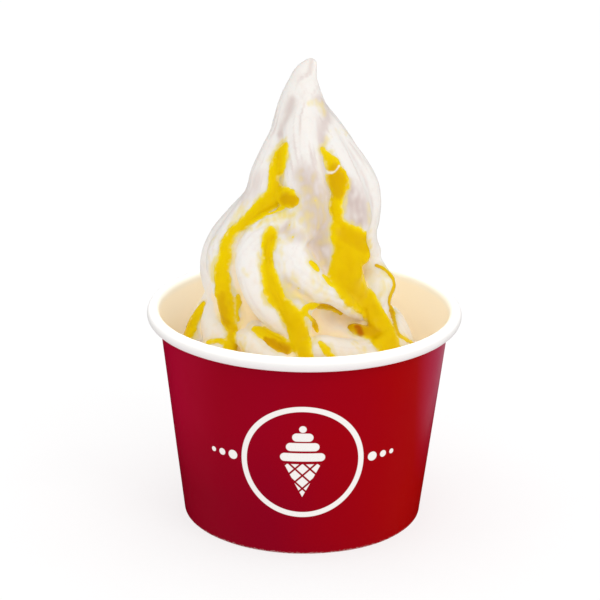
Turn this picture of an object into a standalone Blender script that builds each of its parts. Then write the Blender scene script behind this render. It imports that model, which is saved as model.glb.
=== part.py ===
"""Soft-serve sundae with fruit sauce in a paper cup, built at real size.

Metres, +Z up. The origin is the centre of the ring that the cup stands on, and the
side that faces -Y is the front. Angles go round the Z axis, in degrees from +X.

The cup is made the way a paper cup is: a conical wall whose top is rolled outwards
into a lip and whose foot is folded inwards round the skirt of a pressed-in base.
The ice cream is one solid. A core and the rounded ridges that a star nozzle leaves
are tubes of changing girth, which a voxel remesh fuses, with the thick sauce on them.
"""

import math

import bmesh
import bpy
import numpy
from mathutils import Vector
from mathutils.bvhtree import BVHTree

MM = 0.001

# ---- Paper cup -------------------------------------------------------------------
CUP_HEIGHT = 66 * MM
FOOT_RADIUS = 36.4 * MM     # outer face of the wall, where it stands
MOUTH_RADIUS = 44.2 * MM    # outer face of the wall, at the height of the lip's top
PAPER = 0.5 * MM
GAP = 0.3 * MM              # kept between pieces that touch
LIP_RADIUS = 47.5 * MM      # outermost point of the rolled lip
LIP_HEIGHT = 4.3 * MM
LIP_END_ANGLE = -122        # where the roll stops, just short of the wall
BASE_HEIGHT = 6.6 * MM      # middle of the base disc's paper
SKIRT_FOOT = 1.3 * MM
HEM_TOP = 5.4 * MM
FOLD_HEIGHT = 0.8 * MM
ROUND_STEPS = 64
LIP_STEPS = 9
MERGE = 0.01 * MM           # points closer than this are one

# ---- Ice cream -------------------------------------------------------------------
FILL_TOP = 47 * MM
FILL_GAP = 0.55 * MM        # the remeshed side stays this far inside the cup

# The swirl's outline: height, how far its middle leans to +X, and its radius.
SWIRL = (
    (140.4, 1.6, 1.5),
    (136, -1.0, 4.8),
    (129, -1.1, 8.5),
    (121, -0.5, 12.7),
    (113, 1.0, 16.5),
    (106, 1.2, 20.4),
    (99, 1.5, 21.6),
    (91, -2.9, 24.2),
    (84, -4.5, 27.3),
    (76, -4.5, 27.4),
    (67, -4.2, 25.8),
    (59, -3.0, 23.0),
)
# The coil under it, which spreads towards the cup's wall.
COIL = (
    (80, -1.0, 25.0),
    (74, -1.0, 29.0),
    (68, -2.3, 28.6),
    (61, -3.5, 30.9),
    (56, -2.9, 34.1),
    (50, -1.6, 37.0),
    (43, 0.0, 39.0),
)
# The waist between the two is narrower than both, so that the swirl hangs over it.
CORE = (
    (141.5, 2.0, 1.3),
    (139, 0.4, 2.8),
    (135.5, -1.0, 4.2),
    (129, -1.5, 6.8),
    (121, -0.9, 9.8),
    (113, 1.1, 11.4),
    (106, 1.7, 14.2),
    (99, 1.5, 16.4),
    (91, -2.0, 18.4),
    (84, -3.0, 19.6),
    (76, -3.2, 19.0),
    (69, -3.0, 18.6),
    (63, -2.6, 21.5),
    (57, -1.6, 28.5),
    (50, 0.0, 34.0),
    (40, 0.0, 36.0),
)

# Ridges of the swirl: how far the crest lies under the outline, then the stations that
# it passes from head to foot, as an angle, a height and a girth. The ridges run down
# from the tip and are swept round to the right of the front as they reach the coil.
SWIRL_RIDGES = {
    "left": (0, (
        (-158, 126, 4.4), (-157, 112, 6.6), (-157, 101, 7.2), (-158, 90, 8.0),
        (-152, 83, 7.4), (-144, 76, 5.8), (-139, 70, 4.2), (-138, 64, 3.2), (-141, 59, 2.4),
    )),
    "left_hollow": (4.0, (
        (-143, 88, 3.0), (-136, 80, 5.0), (-132, 72, 5.6), (-131, 64, 5.0), (-129, 57, 3.0),
    )),
    "fold": (0, (
        (-108, 100, 2.0), (-120, 98, 3.4), (-127, 94, 4.4), (-126, 89, 4.8), (-119, 83, 4.8),
        (-113, 77, 4.6), (-106, 71, 3.9), (-97, 67, 3.0), (-90, 64, 2.0),
    )),
    "front": (0, ((-96, 139, 1.2), (-96, 126, 5.0), (-96, 112, 6.6), (-95, 100, 6.6), (-93, 94, 3.0))),
    "brow": (0, (
        (-99, 96, 3.4), (-96, 92, 5.4), (-88, 88, 6.2), (-79, 83, 5.4), (-69, 79, 4.2),
        (-56, 75, 3.0), (-40, 69, 2.0), (-26, 65, 1.2),
    )),
    "brow_flank": (2.6, (
        (-104, 88, 2.4), (-97, 83, 3.8), (-90, 78.5, 4.8), (-81, 75, 4.2), (-74, 73, 2.6),
    )),
    "pool": (1.4, (
        (-70, 101, 3.0), (-58, 94, 6.5), (-47, 86, 7.5), (-40, 79, 7.0), (-28, 72, 5.0),
        (-24, 64, 4.0), (-24, 57, 3.0),
    )),
    "right_front": (0, (
        (-46, 130, 3.6), (-47, 117, 6.0), (-44, 108, 7.0), (-41, 99, 6.8), (-37, 92, 5.0),
        (-32, 87, 2.4),
    )),
    "right": (0, ((-18, 130, 3.6), (-14, 115, 6.0), (-9, 103, 7.0), (-5, 92, 6.4), (1, 83, 3.0))),
    "back_right": (0, ((34, 132, 3.4), (34, 114, 7.0), (36, 100, 7.6), (44, 86, 6.0), (58, 74, 3.0))),
    "back": (0, ((84, 132, 3.4), (84, 114, 7.0), (86, 100, 8.0), (96, 84, 7.0), (118, 70, 3.0))),
    "back_left": (0.6, ((138, 132, 3.4), (138, 114, 7.0), (140, 100, 8.0), (150, 84, 7.4), (174, 68, 3.4))),
    "far_left": (0.4, ((-176, 110, 3.0), (-178, 99, 5.4), (178, 88, 6.4), (184, 76, 5.6), (196, 64, 3.0))),
}
# Ridges of the coil that the photograph shows, given in the same way.
COIL_RIDGES = {
    "right_low": (0, (
        (2, 82, 3.0), (-5, 77, 5.0), (-11, 73, 5.6), (-17, 68, 5.0), (-20, 63, 4.8), (-23, 56, 4.0),
    )),
    "front_right_low": (0, (
        (-88, 61, 3.4), (-74, 62, 4.6), (-62, 61, 5.0), (-50, 60, 5.0), (-40, 57, 4.4),
        (-32, 53, 3.4),
    )),
    "front_left_low": (0, (
        (-127, 64, 2.6), (-117, 63, 3.8), (-107, 61, 4.6), (-96, 58, 4.6), (-84, 55, 3.4),
    )),
    "middle_foot": (2.6, ((-94, 77, 2.6), (-92, 73, 3.8), (-90, 68, 4.6), (-87, 63, 4.2), (-84, 58, 3.0))),
    "pool_floor": (3.4, ((-130, 67, 3.0), (-119, 65.5, 4.5), (-108, 63.5, 4.8), (-98, 60, 4.0), (-91, 56, 3.0))),
    "left_low": (0, (
        (-170, 71, 3.0), (-160, 66, 5.4), (-148, 62, 6.0), (-138, 59, 5.4), (-126, 54, 3.4),
    )),
    "far_left_low": (0, ((166, 72, 3.0), (174, 66, 5.4), (184, 60, 5.8), (198, 53, 3.6))),
}
# The hidden ridges of the coil follow one rule, at even steps round the back.
BACK_RIDGES = 5
BACK_RIDGE_FIRST = 6
BACK_RIDGE_STEP = 31
BACK_RIDGE = ((0, 73, 2.6), (8, 66, 5.4), (20, 60, 5.6), (36, 51, 3.4))

HEAD_SUNK = 2.4             # a ridge's head lies deeper still, so that it emerges slowly
TUBE_SIDES = 4              # bevel resolution
TUBE_STEPS = 6              # curve resolution between stations

VOXEL = 1.1 * MM
BODY_ROUNDS = 4             # of smoothing, on the bare ice cream
SAUCE_ROUNDS = 2            # and again with the sauce on it
ICE_CREAM_SHARE = 0.12      # of the remeshed faces, kept by Decimate

# ---- Thick sauce -----------------------------------------------------------------
# The streams are laid out as someone sees them who looks at the front from a little
# above: stations (across, up, half a width) in millimetres, on a plane through the
# cup's axis that squarely faces the eye. They land where that line of sight does.
EYE_ELEVATION = 19.86       # degrees
EYE_DISTANCE = 700 * MM
EYE_TARGET = 60 * MM        # height on the axis
SAUCE_DEPTH = 1.3 * MM      # in the middle of a stream
SAUCE_STEPS = 4             # points between two stations
SAUCE_STREAMS = {
    "left": (
        (-6.5, 53.5, 1.1), (-7, 51.8, 1.8), (-7.8, 49.4, 2.2), (-8.7, 47, 2.2), (-9.8, 45, 1.5),
        (-10, 42.8, 1.2), (-9.6, 40.3, 1.9), (-9.9, 38, 2.4), (-12.4, 35.5, 2.6), (-14.2, 33.5, 2.5),
        (-16.8, 31.4, 2.1), (-20, 29, 1.5), (-22.5, 26.6, 1.4), (-24, 23.6, 1.6), (-24.4, 20, 1.9),
        (-25.2, 16.3, 2.1), (-25, 12.7, 2.4), (-24.8, 9, 2.5), (-23.7, 5.4, 2.7), (-23.3, 1.8, 2.5),
        (-22.5, -0.6, 1.9), (-21.6, -3.7, 1.4), (-22.3, -6.7, 1.9), (-22, -9.5, 1.6),
    ),
    "left_drop": ((-6.6, 38.8, 2.1), (-4.8, 37.6, 2.5), (-3.9, 37, 2.2)),
    "left_foot": ((-29.2, -6.3, 0.6), (-26.4, -5.8, 0.9), (-23.8, -6.1, 1.1), (-21.7, -7, 1.2)),
    "middle": (
        (-10.5, 27.6, 1.3), (-10.7, 25.2, 2.3), (-10.8, 23.4, 2.3), (-11.2, 21, 1.9), (-11.4, 17.4, 1.9),
        (-10.7, 14.3, 2.3), (-10.1, 11.9, 2.6), (-9.4, 8.9, 2.5), (-7.9, 6.4, 2.4), (-5.8, 4.3, 2.6),
        (-3.7, 1.8, 3), (-2.4, -0.6, 2.8), (-1.6, -3.4, 2.9), (-1, -6.1, 2.9), (-0.1, -8.2, 2.4),
        (0.7, -11.2, 2.2), (1.5, -13.5, 2.2),
    ),
    "right": (
        (4.9, 52.6, 0.6), (6.3, 50.5, 1.1), (7.6, 48.6, 1.9), (8.5, 46.2, 2.3), (9.4, 44, 3),
        (10, 42, 2.8), (9.8, 39.5, 1.8), (9.5, 37.1, 1.7), (9.1, 35, 1.9), (9.7, 32.2, 1.7),
        (9.8, 30.1, 1.9), (10.4, 28, 2.9), (12, 26.1, 4), (14.1, 24, 5.4), (14.9, 21.3, 6.2),
        (13.8, 18.3, 5.9), (13.3, 14.9, 6), (14, 12.2, 5.2), (14.9, 9.8, 4.8), (16.7, 7.6, 4.2),
        (18.8, 5.8, 3.7), (20.7, 3.3, 3.1), (22.3, 1.2, 3.2), (22.9, -0.9, 3.8), (23.7, -3.1, 4.2),
        (25, -5.2, 4), (26.2, -7.6, 3.8), (27.1, -10.3, 3.6),
    ),
    "spot": ((14.1, -1.1, 0.8), (16, -1.9, 1.5), (18, -2.4, 1.8)),
    "far_left": (
        (-30.6, 5.5, 0.5), (-31.7, 3.7, 0.8), (-32.6, 1.9, 1.1), (-33.8, -0.5, 1.5), (-34.9, -3.2, 1.8),
        (-36.2, -6.2, 2),
    ),
    "hollow": ((-15.2, -1.9, 0.9), (-12.8, -3.2, 1.6), (-10.1, -4.9, 2), (-7.7, -6.3, 2.3), (-5.5, -7.4, 2)),
}
# The streams that the photograph does not show, as (angle, height, half a width).
SAUCE_OUTSIDE = 60 * MM     # further out than any of the ice cream
BACK_STREAMS = {
    "right_side": (
        (14, 108, 0.9), (14, 100, 1.9), (16, 92, 2.2), (22, 84, 2), (30, 76, 2.4), (40, 70, 2.4),
        (44, 62, 2.2), (40, 56, 2.6),
    ),
    "back_right": (
        (60, 111, 1), (58, 104, 2.2), (60, 96, 2.6), (66, 88, 2.4), (76, 80, 2.6), (88, 72, 2.6),
        (96, 66, 2.2), (100, 60, 2.4),
    ),
    "back": ((94, 106, 1), (92, 100, 2.2), (94, 92, 2.4), (100, 84, 2.4), (110, 76, 2.2), (122, 68, 1.8)),
    "back_left": (
        (124, 108, 1), (122, 101, 2), (124, 94, 2.3), (131, 84, 2.2), (142, 75, 2), (150, 68, 1.8),
        (160, 63, 1.6),
    ),
}

# ---- Materials -------------------------------------------------------------------
CUP_RED = (0.30, 0.003, 0.010, 1)
PAPER_CREAM = (0.86, 0.78, 0.62, 1)
ICE_WHITE = (0.90, 0.86, 0.82, 1)


def clear_scene():
    for obj in list(bpy.data.objects):
        bpy.data.objects.remove(obj)


def new_collection(name):
    collection = bpy.data.collections.new(name)
    bpy.context.scene.collection.children.link(collection)
    return collection


def new_material(name, colour, roughness):
    material = bpy.data.materials.new(name)
    material.use_nodes = True
    shader = material.node_tree.nodes["Principled BSDF"]
    shader.inputs["Base Color"].default_value = colour
    shader.inputs["Roughness"].default_value = roughness
    shader.inputs["Metallic"].default_value = 0
    return material


# ---- Cup -------------------------------------------------------------------------


def wall_radius(height, inset=0.0):
    """Middle of the wall's paper at a height, less an inset."""
    share = height / CUP_HEIGHT
    return FOOT_RADIUS + (MOUTH_RADIUS - FOOT_RADIUS) * share - PAPER / 2 - inset


def turned_sheet(name, profile, material, collection):
    """Paper that follows a profile of (radius, height) points round the Z axis."""
    mesh = bpy.data.meshes.new(name)
    edges = [(i, i + 1) for i in range(len(profile) - 1)]
    mesh.from_pydata([(radius, 0, height) for radius, height in profile], edges, [])
    obj = bpy.data.objects.new(name, mesh)
    collection.objects.link(obj)
    mesh.materials.append(material)

    screw = obj.modifiers.new("Turn", "SCREW")
    screw.steps = ROUND_STEPS
    screw.render_steps = ROUND_STEPS
    screw.use_merge_vertices = True
    screw.merge_threshold = MERGE
    screw.use_smooth_shade = True

    solidify = obj.modifiers.new("Paper", "SOLIDIFY")
    solidify.thickness = PAPER
    solidify.offset = 0
    solidify.use_even_offset = True
    return obj


def lip_points():
    """The roll at the mouth: up the inner side, over the top, round and back under."""
    half_width = (LIP_RADIUS - MOUTH_RADIUS + PAPER) / 2
    middle = LIP_RADIUS - half_width
    centre_height = CUP_HEIGHT - LIP_HEIGHT / 2
    points = []
    for step in range(LIP_STEPS + 1):
        turn = math.radians(180 + (LIP_END_ANGLE - 180) * step / LIP_STEPS)
        points.append((
            middle + (half_width - PAPER / 2) * math.cos(turn),
            centre_height + (LIP_HEIGHT / 2 - PAPER / 2) * math.sin(turn),
        ))
    return points


def cup_wall(material, collection):
    hem_inset = 2 * (PAPER + GAP)
    fold_corner = 0.4 * MM
    bottom = PAPER / 2
    profile = [
        (wall_radius(HEM_TOP, hem_inset), HEM_TOP),
        (wall_radius(FOLD_HEIGHT, hem_inset), FOLD_HEIGHT),
        (wall_radius(0, hem_inset - fold_corner), bottom),
        (wall_radius(0, fold_corner), bottom),
        (wall_radius(FOLD_HEIGHT), FOLD_HEIGHT),
    ]
    return turned_sheet("cup_wall", profile + lip_points(), material, collection)


def cup_base(material, collection):
    inset = PAPER + GAP
    edge = wall_radius(BASE_HEIGHT, inset)
    corner = 0.5 * MM
    profile = [
        (0, BASE_HEIGHT),
        (edge / 2, BASE_HEIGHT),
        (edge - corner, BASE_HEIGHT),
        (wall_radius(BASE_HEIGHT - corner, inset), BASE_HEIGHT - corner),
        (wall_radius(SKIRT_FOOT, inset), SKIRT_FOOT),
    ]
    return turned_sheet("cup_base", profile, material, collection)


# ---- Ice cream -------------------------------------------------------------------


def body_at(outline, height):
    """Lean and radius of an outline at a height, both in millimetres."""
    if height >= outline[0][0]:
        return outline[0][1:]
    for (top, lean_a, radius_a), (low, lean_b, radius_b) in zip(outline, outline[1:]):
        if height >= low:
            share = (top - height) / (top - low)
            return lean_a + (lean_b - lean_a) * share, radius_a + (radius_b - radius_a) * share
    return outline[-1][1:]


def tube(name, stations, collection):
    """A smooth tube through stations of (point, radius), in millimetres."""
    curve = bpy.data.curves.new(name, "CURVE")
    curve.dimensions = "3D"
    curve.bevel_depth = MM
    curve.bevel_resolution = TUBE_SIDES
    curve.resolution_u = TUBE_STEPS
    curve.use_fill_caps = True
    spline = curve.splines.new("BEZIER")
    spline.bezier_points.add(len(stations) - 1)
    for point, (place, radius) in zip(spline.bezier_points, stations):
        point.co = Vector(place) * MM
        point.radius = radius
        point.handle_left_type = "AUTO"
        point.handle_right_type = "AUTO"
    obj = bpy.data.objects.new(name, curve)
    collection.objects.link(obj)
    obj.hide_render = True
    return obj


def slope_at(outline, height):
    """How far an outline tips back from the vertical at a height, as an angle."""
    step = 1
    narrows = body_at(outline, height - step)[1] - body_at(outline, height + step)[1]
    return math.atan(narrows / (2 * step))


def ridge_stations(outline, sunk, path):
    """Centre and radius of a ridge at each of its stations, its crest on the outline."""
    stations = []
    for number, (angle, height, girth) in enumerate(path):
        lean, body_radius = body_at(outline, height)
        slope = slope_at(outline, height)
        depth = sunk + girth + (HEAD_SUNK if number == 0 else 0)
        reach = max(body_radius - depth * math.cos(slope), 0)
        turn = math.radians(angle)
        centre = (lean + reach * math.cos(turn), reach * math.sin(turn), height - depth * math.sin(slope))
        stations.append((centre, girth))
    return stations


def ice_cream_tubes(guides):
    """The core and every ridge, as curve objects that overlap one another."""
    tubes = [tube("core", [((lean, 0, height), r) for height, lean, r in CORE], guides)]
    for name, (sunk, path) in SWIRL_RIDGES.items():
        tubes.append(tube("ridge_" + name, ridge_stations(SWIRL, sunk, path), guides))
    for name, (sunk, path) in COIL_RIDGES.items():
        tubes.append(tube("ridge_" + name, ridge_stations(COIL, sunk, path), guides))
    for number in range(BACK_RIDGES):
        first = BACK_RIDGE_FIRST + number * BACK_RIDGE_STEP
        path = [(first + turn, height, girth) for turn, height, girth in BACK_RIDGE]
        tubes.append(tube(f"ridge_back_low_{number}", ridge_stations(COIL, 0, path), guides))
    return tubes


def joined(tubes):
    """One mesh with the evaluated surface of every tube, and the fill in the cup."""
    graph = bpy.context.evaluated_depsgraph_get()
    body = bmesh.new()
    for obj in tubes:
        evaluated = obj.evaluated_get(graph)
        body.from_mesh(evaluated.to_mesh())
        evaluated.to_mesh_clear()
    bmesh.ops.remove_doubles(body, verts=body.verts, dist=MERGE)

    floor = BASE_HEIGHT + PAPER / 2 + FILL_GAP
    inset = PAPER / 2 + FILL_GAP
    fill = bmesh.ops.create_cone(
        body,
        cap_ends=True,
        segments=ROUND_STEPS,
        radius1=wall_radius(floor, inset),
        radius2=wall_radius(FILL_TOP, inset),
        depth=FILL_TOP - floor,
    )
    bmesh.ops.translate(body, verts=fill["verts"], vec=(0, 0, (floor + FILL_TOP) / 2))
    return body


def fuse(obj, rounds):
    """Give an object one smooth skin over all that overlaps in it."""
    remesh = obj.modifiers.new("Fuse", "REMESH")
    remesh.mode = "VOXEL"
    remesh.voxel_size = VOXEL
    remesh.use_smooth_shade = True
    smooth = obj.modifiers.new("Soften", "SMOOTH")
    smooth.factor = 0.5
    smooth.iterations = rounds


def bare_ice_cream(tubes, material, collection):
    """The mesh of the ice cream before the sauce is on it."""
    body = joined(tubes)
    mesh = bpy.data.meshes.new("bare")
    body.to_mesh(mesh)
    body.free()
    bare = bpy.data.objects.new("bare", mesh)
    collection.objects.link(bare)
    fuse(bare, BODY_ROUNDS)
    graph = bpy.context.evaluated_depsgraph_get()
    skin = bpy.data.meshes.new_from_object(bare.evaluated_get(graph))
    bpy.data.objects.remove(bare)
    skin.materials.clear()
    skin.materials.append(material)
    return skin


def line_of_sight():
    """The eye, the plane's middle, and the plane's directions across and up."""
    tilt = math.radians(EYE_ELEVATION)
    middle = Vector((0, 0, EYE_TARGET))
    eye = middle + EYE_DISTANCE * Vector((0, -math.cos(tilt), math.sin(tilt)))
    return eye, middle, Vector((1, 0, 0)), Vector((0, math.sin(tilt), math.cos(tilt)))


def between(stations, steps):
    """Stations on a smooth curve through the given ones."""
    padded = numpy.array([stations[0], *stations, stations[-1]], dtype=float)
    for first in range(len(stations) - 1):
        a, b, c, d = padded[first:first + 4]
        for step in range(steps):
            t = step / steps
            bend = t * (2 * a - 5 * b + 4 * c - d + t * (3 * (b - c) + d - a))
            yield (b + t * (c - a + bend) / 2).tolist()
    yield padded[-1].tolist()


def lines_to_skin():
    """For each point of each stream: where its line starts, where it aims, half a width."""
    eye, middle, across_way, up_way = line_of_sight()
    for stations in SAUCE_STREAMS.values():
        for across, up, half_width in between(stations, SAUCE_STEPS):
            yield eye, middle + (across * across_way + up * up_way) * MM, half_width * MM
    for stations in BACK_STREAMS.values():
        for angle, height, half_width in between(stations, SAUCE_STEPS):
            outwards = Vector((math.cos(math.radians(angle)), math.sin(math.radians(angle)), 0))
            axis = Vector((body_at(SWIRL, height)[0], 0, height)) * MM
            yield axis + SAUCE_OUTSIDE * outwards, axis, half_width * MM


def stream_points(skin):
    """Points of all streams on the skin, each with half the stream's width there."""
    surface = bmesh.new()
    surface.from_mesh(skin)
    tree = BVHTree.FromBMesh(surface)
    points = []
    for start, aim, half_width in lines_to_skin():
        hit = tree.ray_cast(start, (aim - start).normalized())[0]
        if hit is not None:
            points.append((*hit, half_width))
    surface.free()
    return numpy.array(points)


def lay_sauce(skin):
    """Raise the skin along each stream, rounded across its width."""
    count = len(skin.vertices)
    places = numpy.empty(count * 3)
    skin.vertices.foreach_get("co", places)
    places = places.reshape(count, 3)
    normals = numpy.array([normal.vector[:] for normal in skin.vertex_normals])
    share = numpy.ones(count)
    for *place, half_width in stream_points(skin):
        away = numpy.linalg.norm(places - place, axis=1) / half_width
        share = numpy.minimum(share, away)
    rise = SAUCE_DEPTH * numpy.sqrt(1 - share ** 2)
    skin.vertices.foreach_set("co", (places + normals * rise[:, None]).ravel())


def ice_cream(material, collection, guides):
    tubes = ice_cream_tubes(guides)
    bpy.context.view_layer.update()
    skin = bare_ice_cream(tubes, material, guides)
    for obj in tubes:
        bpy.data.objects.remove(obj)
    lay_sauce(skin)
    obj = bpy.data.objects.new("ice_cream", skin)
    collection.objects.link(obj)
    fuse(obj, SAUCE_ROUNDS)
    decimate = obj.modifiers.new("Thin out", "DECIMATE")
    decimate.ratio = ICE_CREAM_SHARE
    return obj


def main():
    clear_scene()
    sundae = new_collection("ice_cream_sundae")
    guides = new_collection("guides")
    printed_paper = new_material("printed paper", CUP_RED, 0.35)
    plain_paper = new_material("plain paper", PAPER_CREAM, 0.6)
    ice = new_material("soft-serve ice cream", ICE_WHITE, 0.45)
    cup_wall(printed_paper, sundae)
    cup_base(plain_paper, sundae)
    ice_cream(ice, sundae, guides)


main()
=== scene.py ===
"""Finish of a soft-serve sundae in a printed paper cup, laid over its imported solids.

Metres, +Z up, and the side that faces -Y is the front. The tables of the ice cream and
of the sauce are in millimetres and degrees. They give the form of the solids, with one
more low ridge at the left, finer threads and edges of sauce, and freer streams at the back.
"""

import math
from contextlib import contextmanager

import bmesh
import bpy
import numpy
from mathutils import Matrix, Vector, noise
from mathutils.bvhtree import BVHTree
from mathutils.kdtree import KDTree


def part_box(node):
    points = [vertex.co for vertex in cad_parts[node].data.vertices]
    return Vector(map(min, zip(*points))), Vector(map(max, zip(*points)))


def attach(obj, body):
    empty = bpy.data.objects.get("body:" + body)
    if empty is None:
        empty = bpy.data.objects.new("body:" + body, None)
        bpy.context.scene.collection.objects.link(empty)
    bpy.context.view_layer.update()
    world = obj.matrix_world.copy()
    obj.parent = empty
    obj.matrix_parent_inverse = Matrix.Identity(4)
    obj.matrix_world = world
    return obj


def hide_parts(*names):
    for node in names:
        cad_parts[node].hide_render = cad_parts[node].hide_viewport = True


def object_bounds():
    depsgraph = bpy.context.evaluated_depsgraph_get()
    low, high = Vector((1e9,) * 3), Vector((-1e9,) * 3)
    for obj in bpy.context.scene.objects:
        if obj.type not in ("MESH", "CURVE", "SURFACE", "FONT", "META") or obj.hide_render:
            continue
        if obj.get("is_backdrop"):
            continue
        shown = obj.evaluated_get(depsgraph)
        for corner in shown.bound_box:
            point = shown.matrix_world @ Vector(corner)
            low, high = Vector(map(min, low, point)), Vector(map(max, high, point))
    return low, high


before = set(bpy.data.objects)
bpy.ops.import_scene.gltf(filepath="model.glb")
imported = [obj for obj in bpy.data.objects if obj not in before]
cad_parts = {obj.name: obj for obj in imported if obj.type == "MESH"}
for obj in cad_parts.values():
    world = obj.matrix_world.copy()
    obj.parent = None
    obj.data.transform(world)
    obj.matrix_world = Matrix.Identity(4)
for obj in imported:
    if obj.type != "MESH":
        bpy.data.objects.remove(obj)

SOLID_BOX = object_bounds()
MM = 0.001

# ==== Sizes ========================================================================

# ---- Paper cup -------------------------------------------------------------------
CUP_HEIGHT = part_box("cup_wall")[1].z
FOOT_RADIUS = 36.4 * MM     # outer face of the wall, where it stands
MOUTH_RADIUS = 44.2 * MM    # outer face of the wall, at the height of the lip's top
TAPER = (MOUTH_RADIUS - FOOT_RADIUS) / CUP_HEIGHT
LIP_RADIUS = 47.5 * MM      # outermost point of the rolled lip
LIP_HEIGHT = 4.3 * MM
LIP_END_ANGLE = -122        # where the roll stops, just short of the wall
PAPER = 0.5 * MM
GAP = 0.3 * MM              # between the wall, the skirt and the hem
BASE_HEIGHT = 6.6 * MM      # middle of the base disc's paper
BASE_BEND = 0.8 * MM        # radius of the bend between the disc and its skirt
SKIRT_FOOT = 1.3 * MM
HEM_TOP = 5.4 * MM
FOLD_HEIGHT = 0.8 * MM      # middle of the foot's fold
FOLD_DEPTH = 0.55 * MM
ROUND_STEPS = 180
LIP_STEPS = 24
FOLD_STEPS = 8
WALL_STEPS = 10
BEND_STEPS = 5
WELD = 0.001 * MM           # corners this close are made one
SHARP_ANGLE = 50            # degrees, from which an edge stays sharp

# The wall is one sheet of paper whose ends overlap at the back.
SEAM_ANGLE = 90
SEAM_WIDTH = 8 * MM         # of the overlap
SEAM_RAMP = 3 * MM          # where the outer end climbs on to the inner one
SEAM_RISE = 0.3 * MM
SEAM_EDGE = 0.25 * MM
SEAM_STEP = 0.25 * MM       # between the turns at the seam's edges
UNEVEN = 0.12 * MM          # how far the wall and the lip stray from a true circle
UNEVEN_WAVES = ((UNEVEN, 1.7), (UNEVEN / 3, 6))   # reach, and waves to the cup's radius
UNEVEN_RISE = 0.7           # the cup's height, in the same measure

# ---- Ice cream --------------------------------------------------------------------
FILL_TOP = 47 * MM
FILL_GAP = 0.15 * MM

# The swirl's outline: height, how far its middle leans to +X, and its radius.
SWIRL = (
    (140.4, 1.6, 1.5),
    (136, -1.0, 4.8),
    (129, -1.1, 8.5),
    (121, -0.5, 12.7),
    (113, 1.0, 16.5),
    (106, 1.2, 20.4),
    (99, 1.5, 21.6),
    (91, -2.9, 24.2),
    (84, -4.5, 27.3),
    (76, -4.5, 27.4),
    (67, -4.2, 25.8),
    (59, -3.0, 23.0),
)
# The coil under it, which spreads towards the cup's wall.
COIL = (
    (80, -1.0, 25.0),
    (74, -1.0, 29.0),
    (68, -2.3, 28.6),
    (61, -3.5, 30.9),
    (56, -2.9, 34.1),
    (50, -1.6, 37.0),
    (43, 0.0, 39.0),
)
# The waist between the two is narrower than both, so that the swirl hangs over it.
CORE = (
    (141.5, 2.0, 1.3),
    (139, 0.4, 2.8),
    (135.5, -1.0, 4.2),
    (129, -1.5, 6.8),
    (121, -0.9, 9.8),
    (113, 1.1, 11.4),
    (106, 1.7, 14.2),
    (99, 1.5, 16.4),
    (91, -2.0, 18.4),
    (84, -3.0, 19.6),
    (76, -3.2, 19.0),
    (69, -3.0, 18.6),
    (63, -2.6, 21.5),
    (57, -1.6, 28.5),
    (50, 0.0, 34.0),
    (40, 0.0, 36.0),
)

# Ridges of the swirl: how far the crest lies under the outline, then the stations that
# it passes from head to foot, as an angle, a height and a girth.
SWIRL_RIDGES = {
    "left": (0, (
        (-158, 126, 4.4), (-157, 112, 6.6), (-157, 101, 7.2), (-158, 90, 8.0),
        (-152, 83, 7.4), (-144, 76, 5.8), (-139, 70, 4.2), (-138, 64, 3.2), (-141, 59, 2.4),
    )),
    "left_hollow": (4.0, (
        (-143, 88, 3.0), (-136, 80, 5.0), (-132, 72, 5.6), (-131, 64, 5.0), (-129, 57, 3.0),
    )),
    "fold": (0, (
        (-108, 100, 2.0), (-120, 98, 3.4), (-127, 94, 4.4), (-126, 89, 4.8), (-119, 83, 4.8),
        (-113, 77, 4.6), (-106, 71, 3.9), (-97, 67, 3.0), (-90, 64, 2.0),
    )),
    "front": (0, ((-96, 139, 1.2), (-96, 126, 5.0), (-96, 112, 6.6), (-95, 100, 6.6), (-93, 94, 3.0))),
    "brow": (0, (
        (-99, 96, 3.4), (-96, 92, 5.4), (-88, 88, 6.2), (-79, 83, 5.4), (-69, 79, 4.2),
        (-56, 75, 3.0), (-40, 69, 2.0), (-26, 65, 1.2),
    )),
    "brow_flank": (2.6, (
        (-104, 88, 2.4), (-97, 83, 3.8), (-90, 78.5, 4.8), (-81, 75, 4.2), (-74, 73, 2.6),
    )),
    "pool": (1.4, (
        (-70, 101, 3.0), (-58, 94, 6.5), (-47, 86, 7.5), (-40, 79, 7.0), (-28, 72, 5.0),
        (-24, 64, 4.0), (-24, 57, 3.0),
    )),
    "right_front": (0, (
        (-46, 130, 3.6), (-47, 117, 6.0), (-44, 108, 7.0), (-41, 99, 6.8), (-37, 92, 5.0),
        (-32, 87, 2.4),
    )),
    "right": (0, ((-18, 130, 3.6), (-14, 115, 6.0), (-9, 103, 7.0), (-5, 92, 6.4), (1, 83, 3.0))),
    "back_right": (0, ((34, 132, 3.4), (34, 114, 7.0), (36, 100, 7.6), (44, 86, 6.0), (58, 74, 3.0))),
    "back": (0, ((84, 132, 3.4), (84, 114, 7.0), (86, 100, 8.0), (96, 84, 7.0), (118, 70, 3.0))),
    "back_left": (0.6, ((138, 132, 3.4), (138, 114, 7.0), (140, 100, 8.0), (150, 84, 7.4), (174, 68, 3.4))),
    "far_left": (0.4, ((-176, 110, 3.0), (-178, 99, 5.4), (178, 88, 6.4), (184, 76, 5.6), (196, 64, 3.0))),
}
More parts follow.
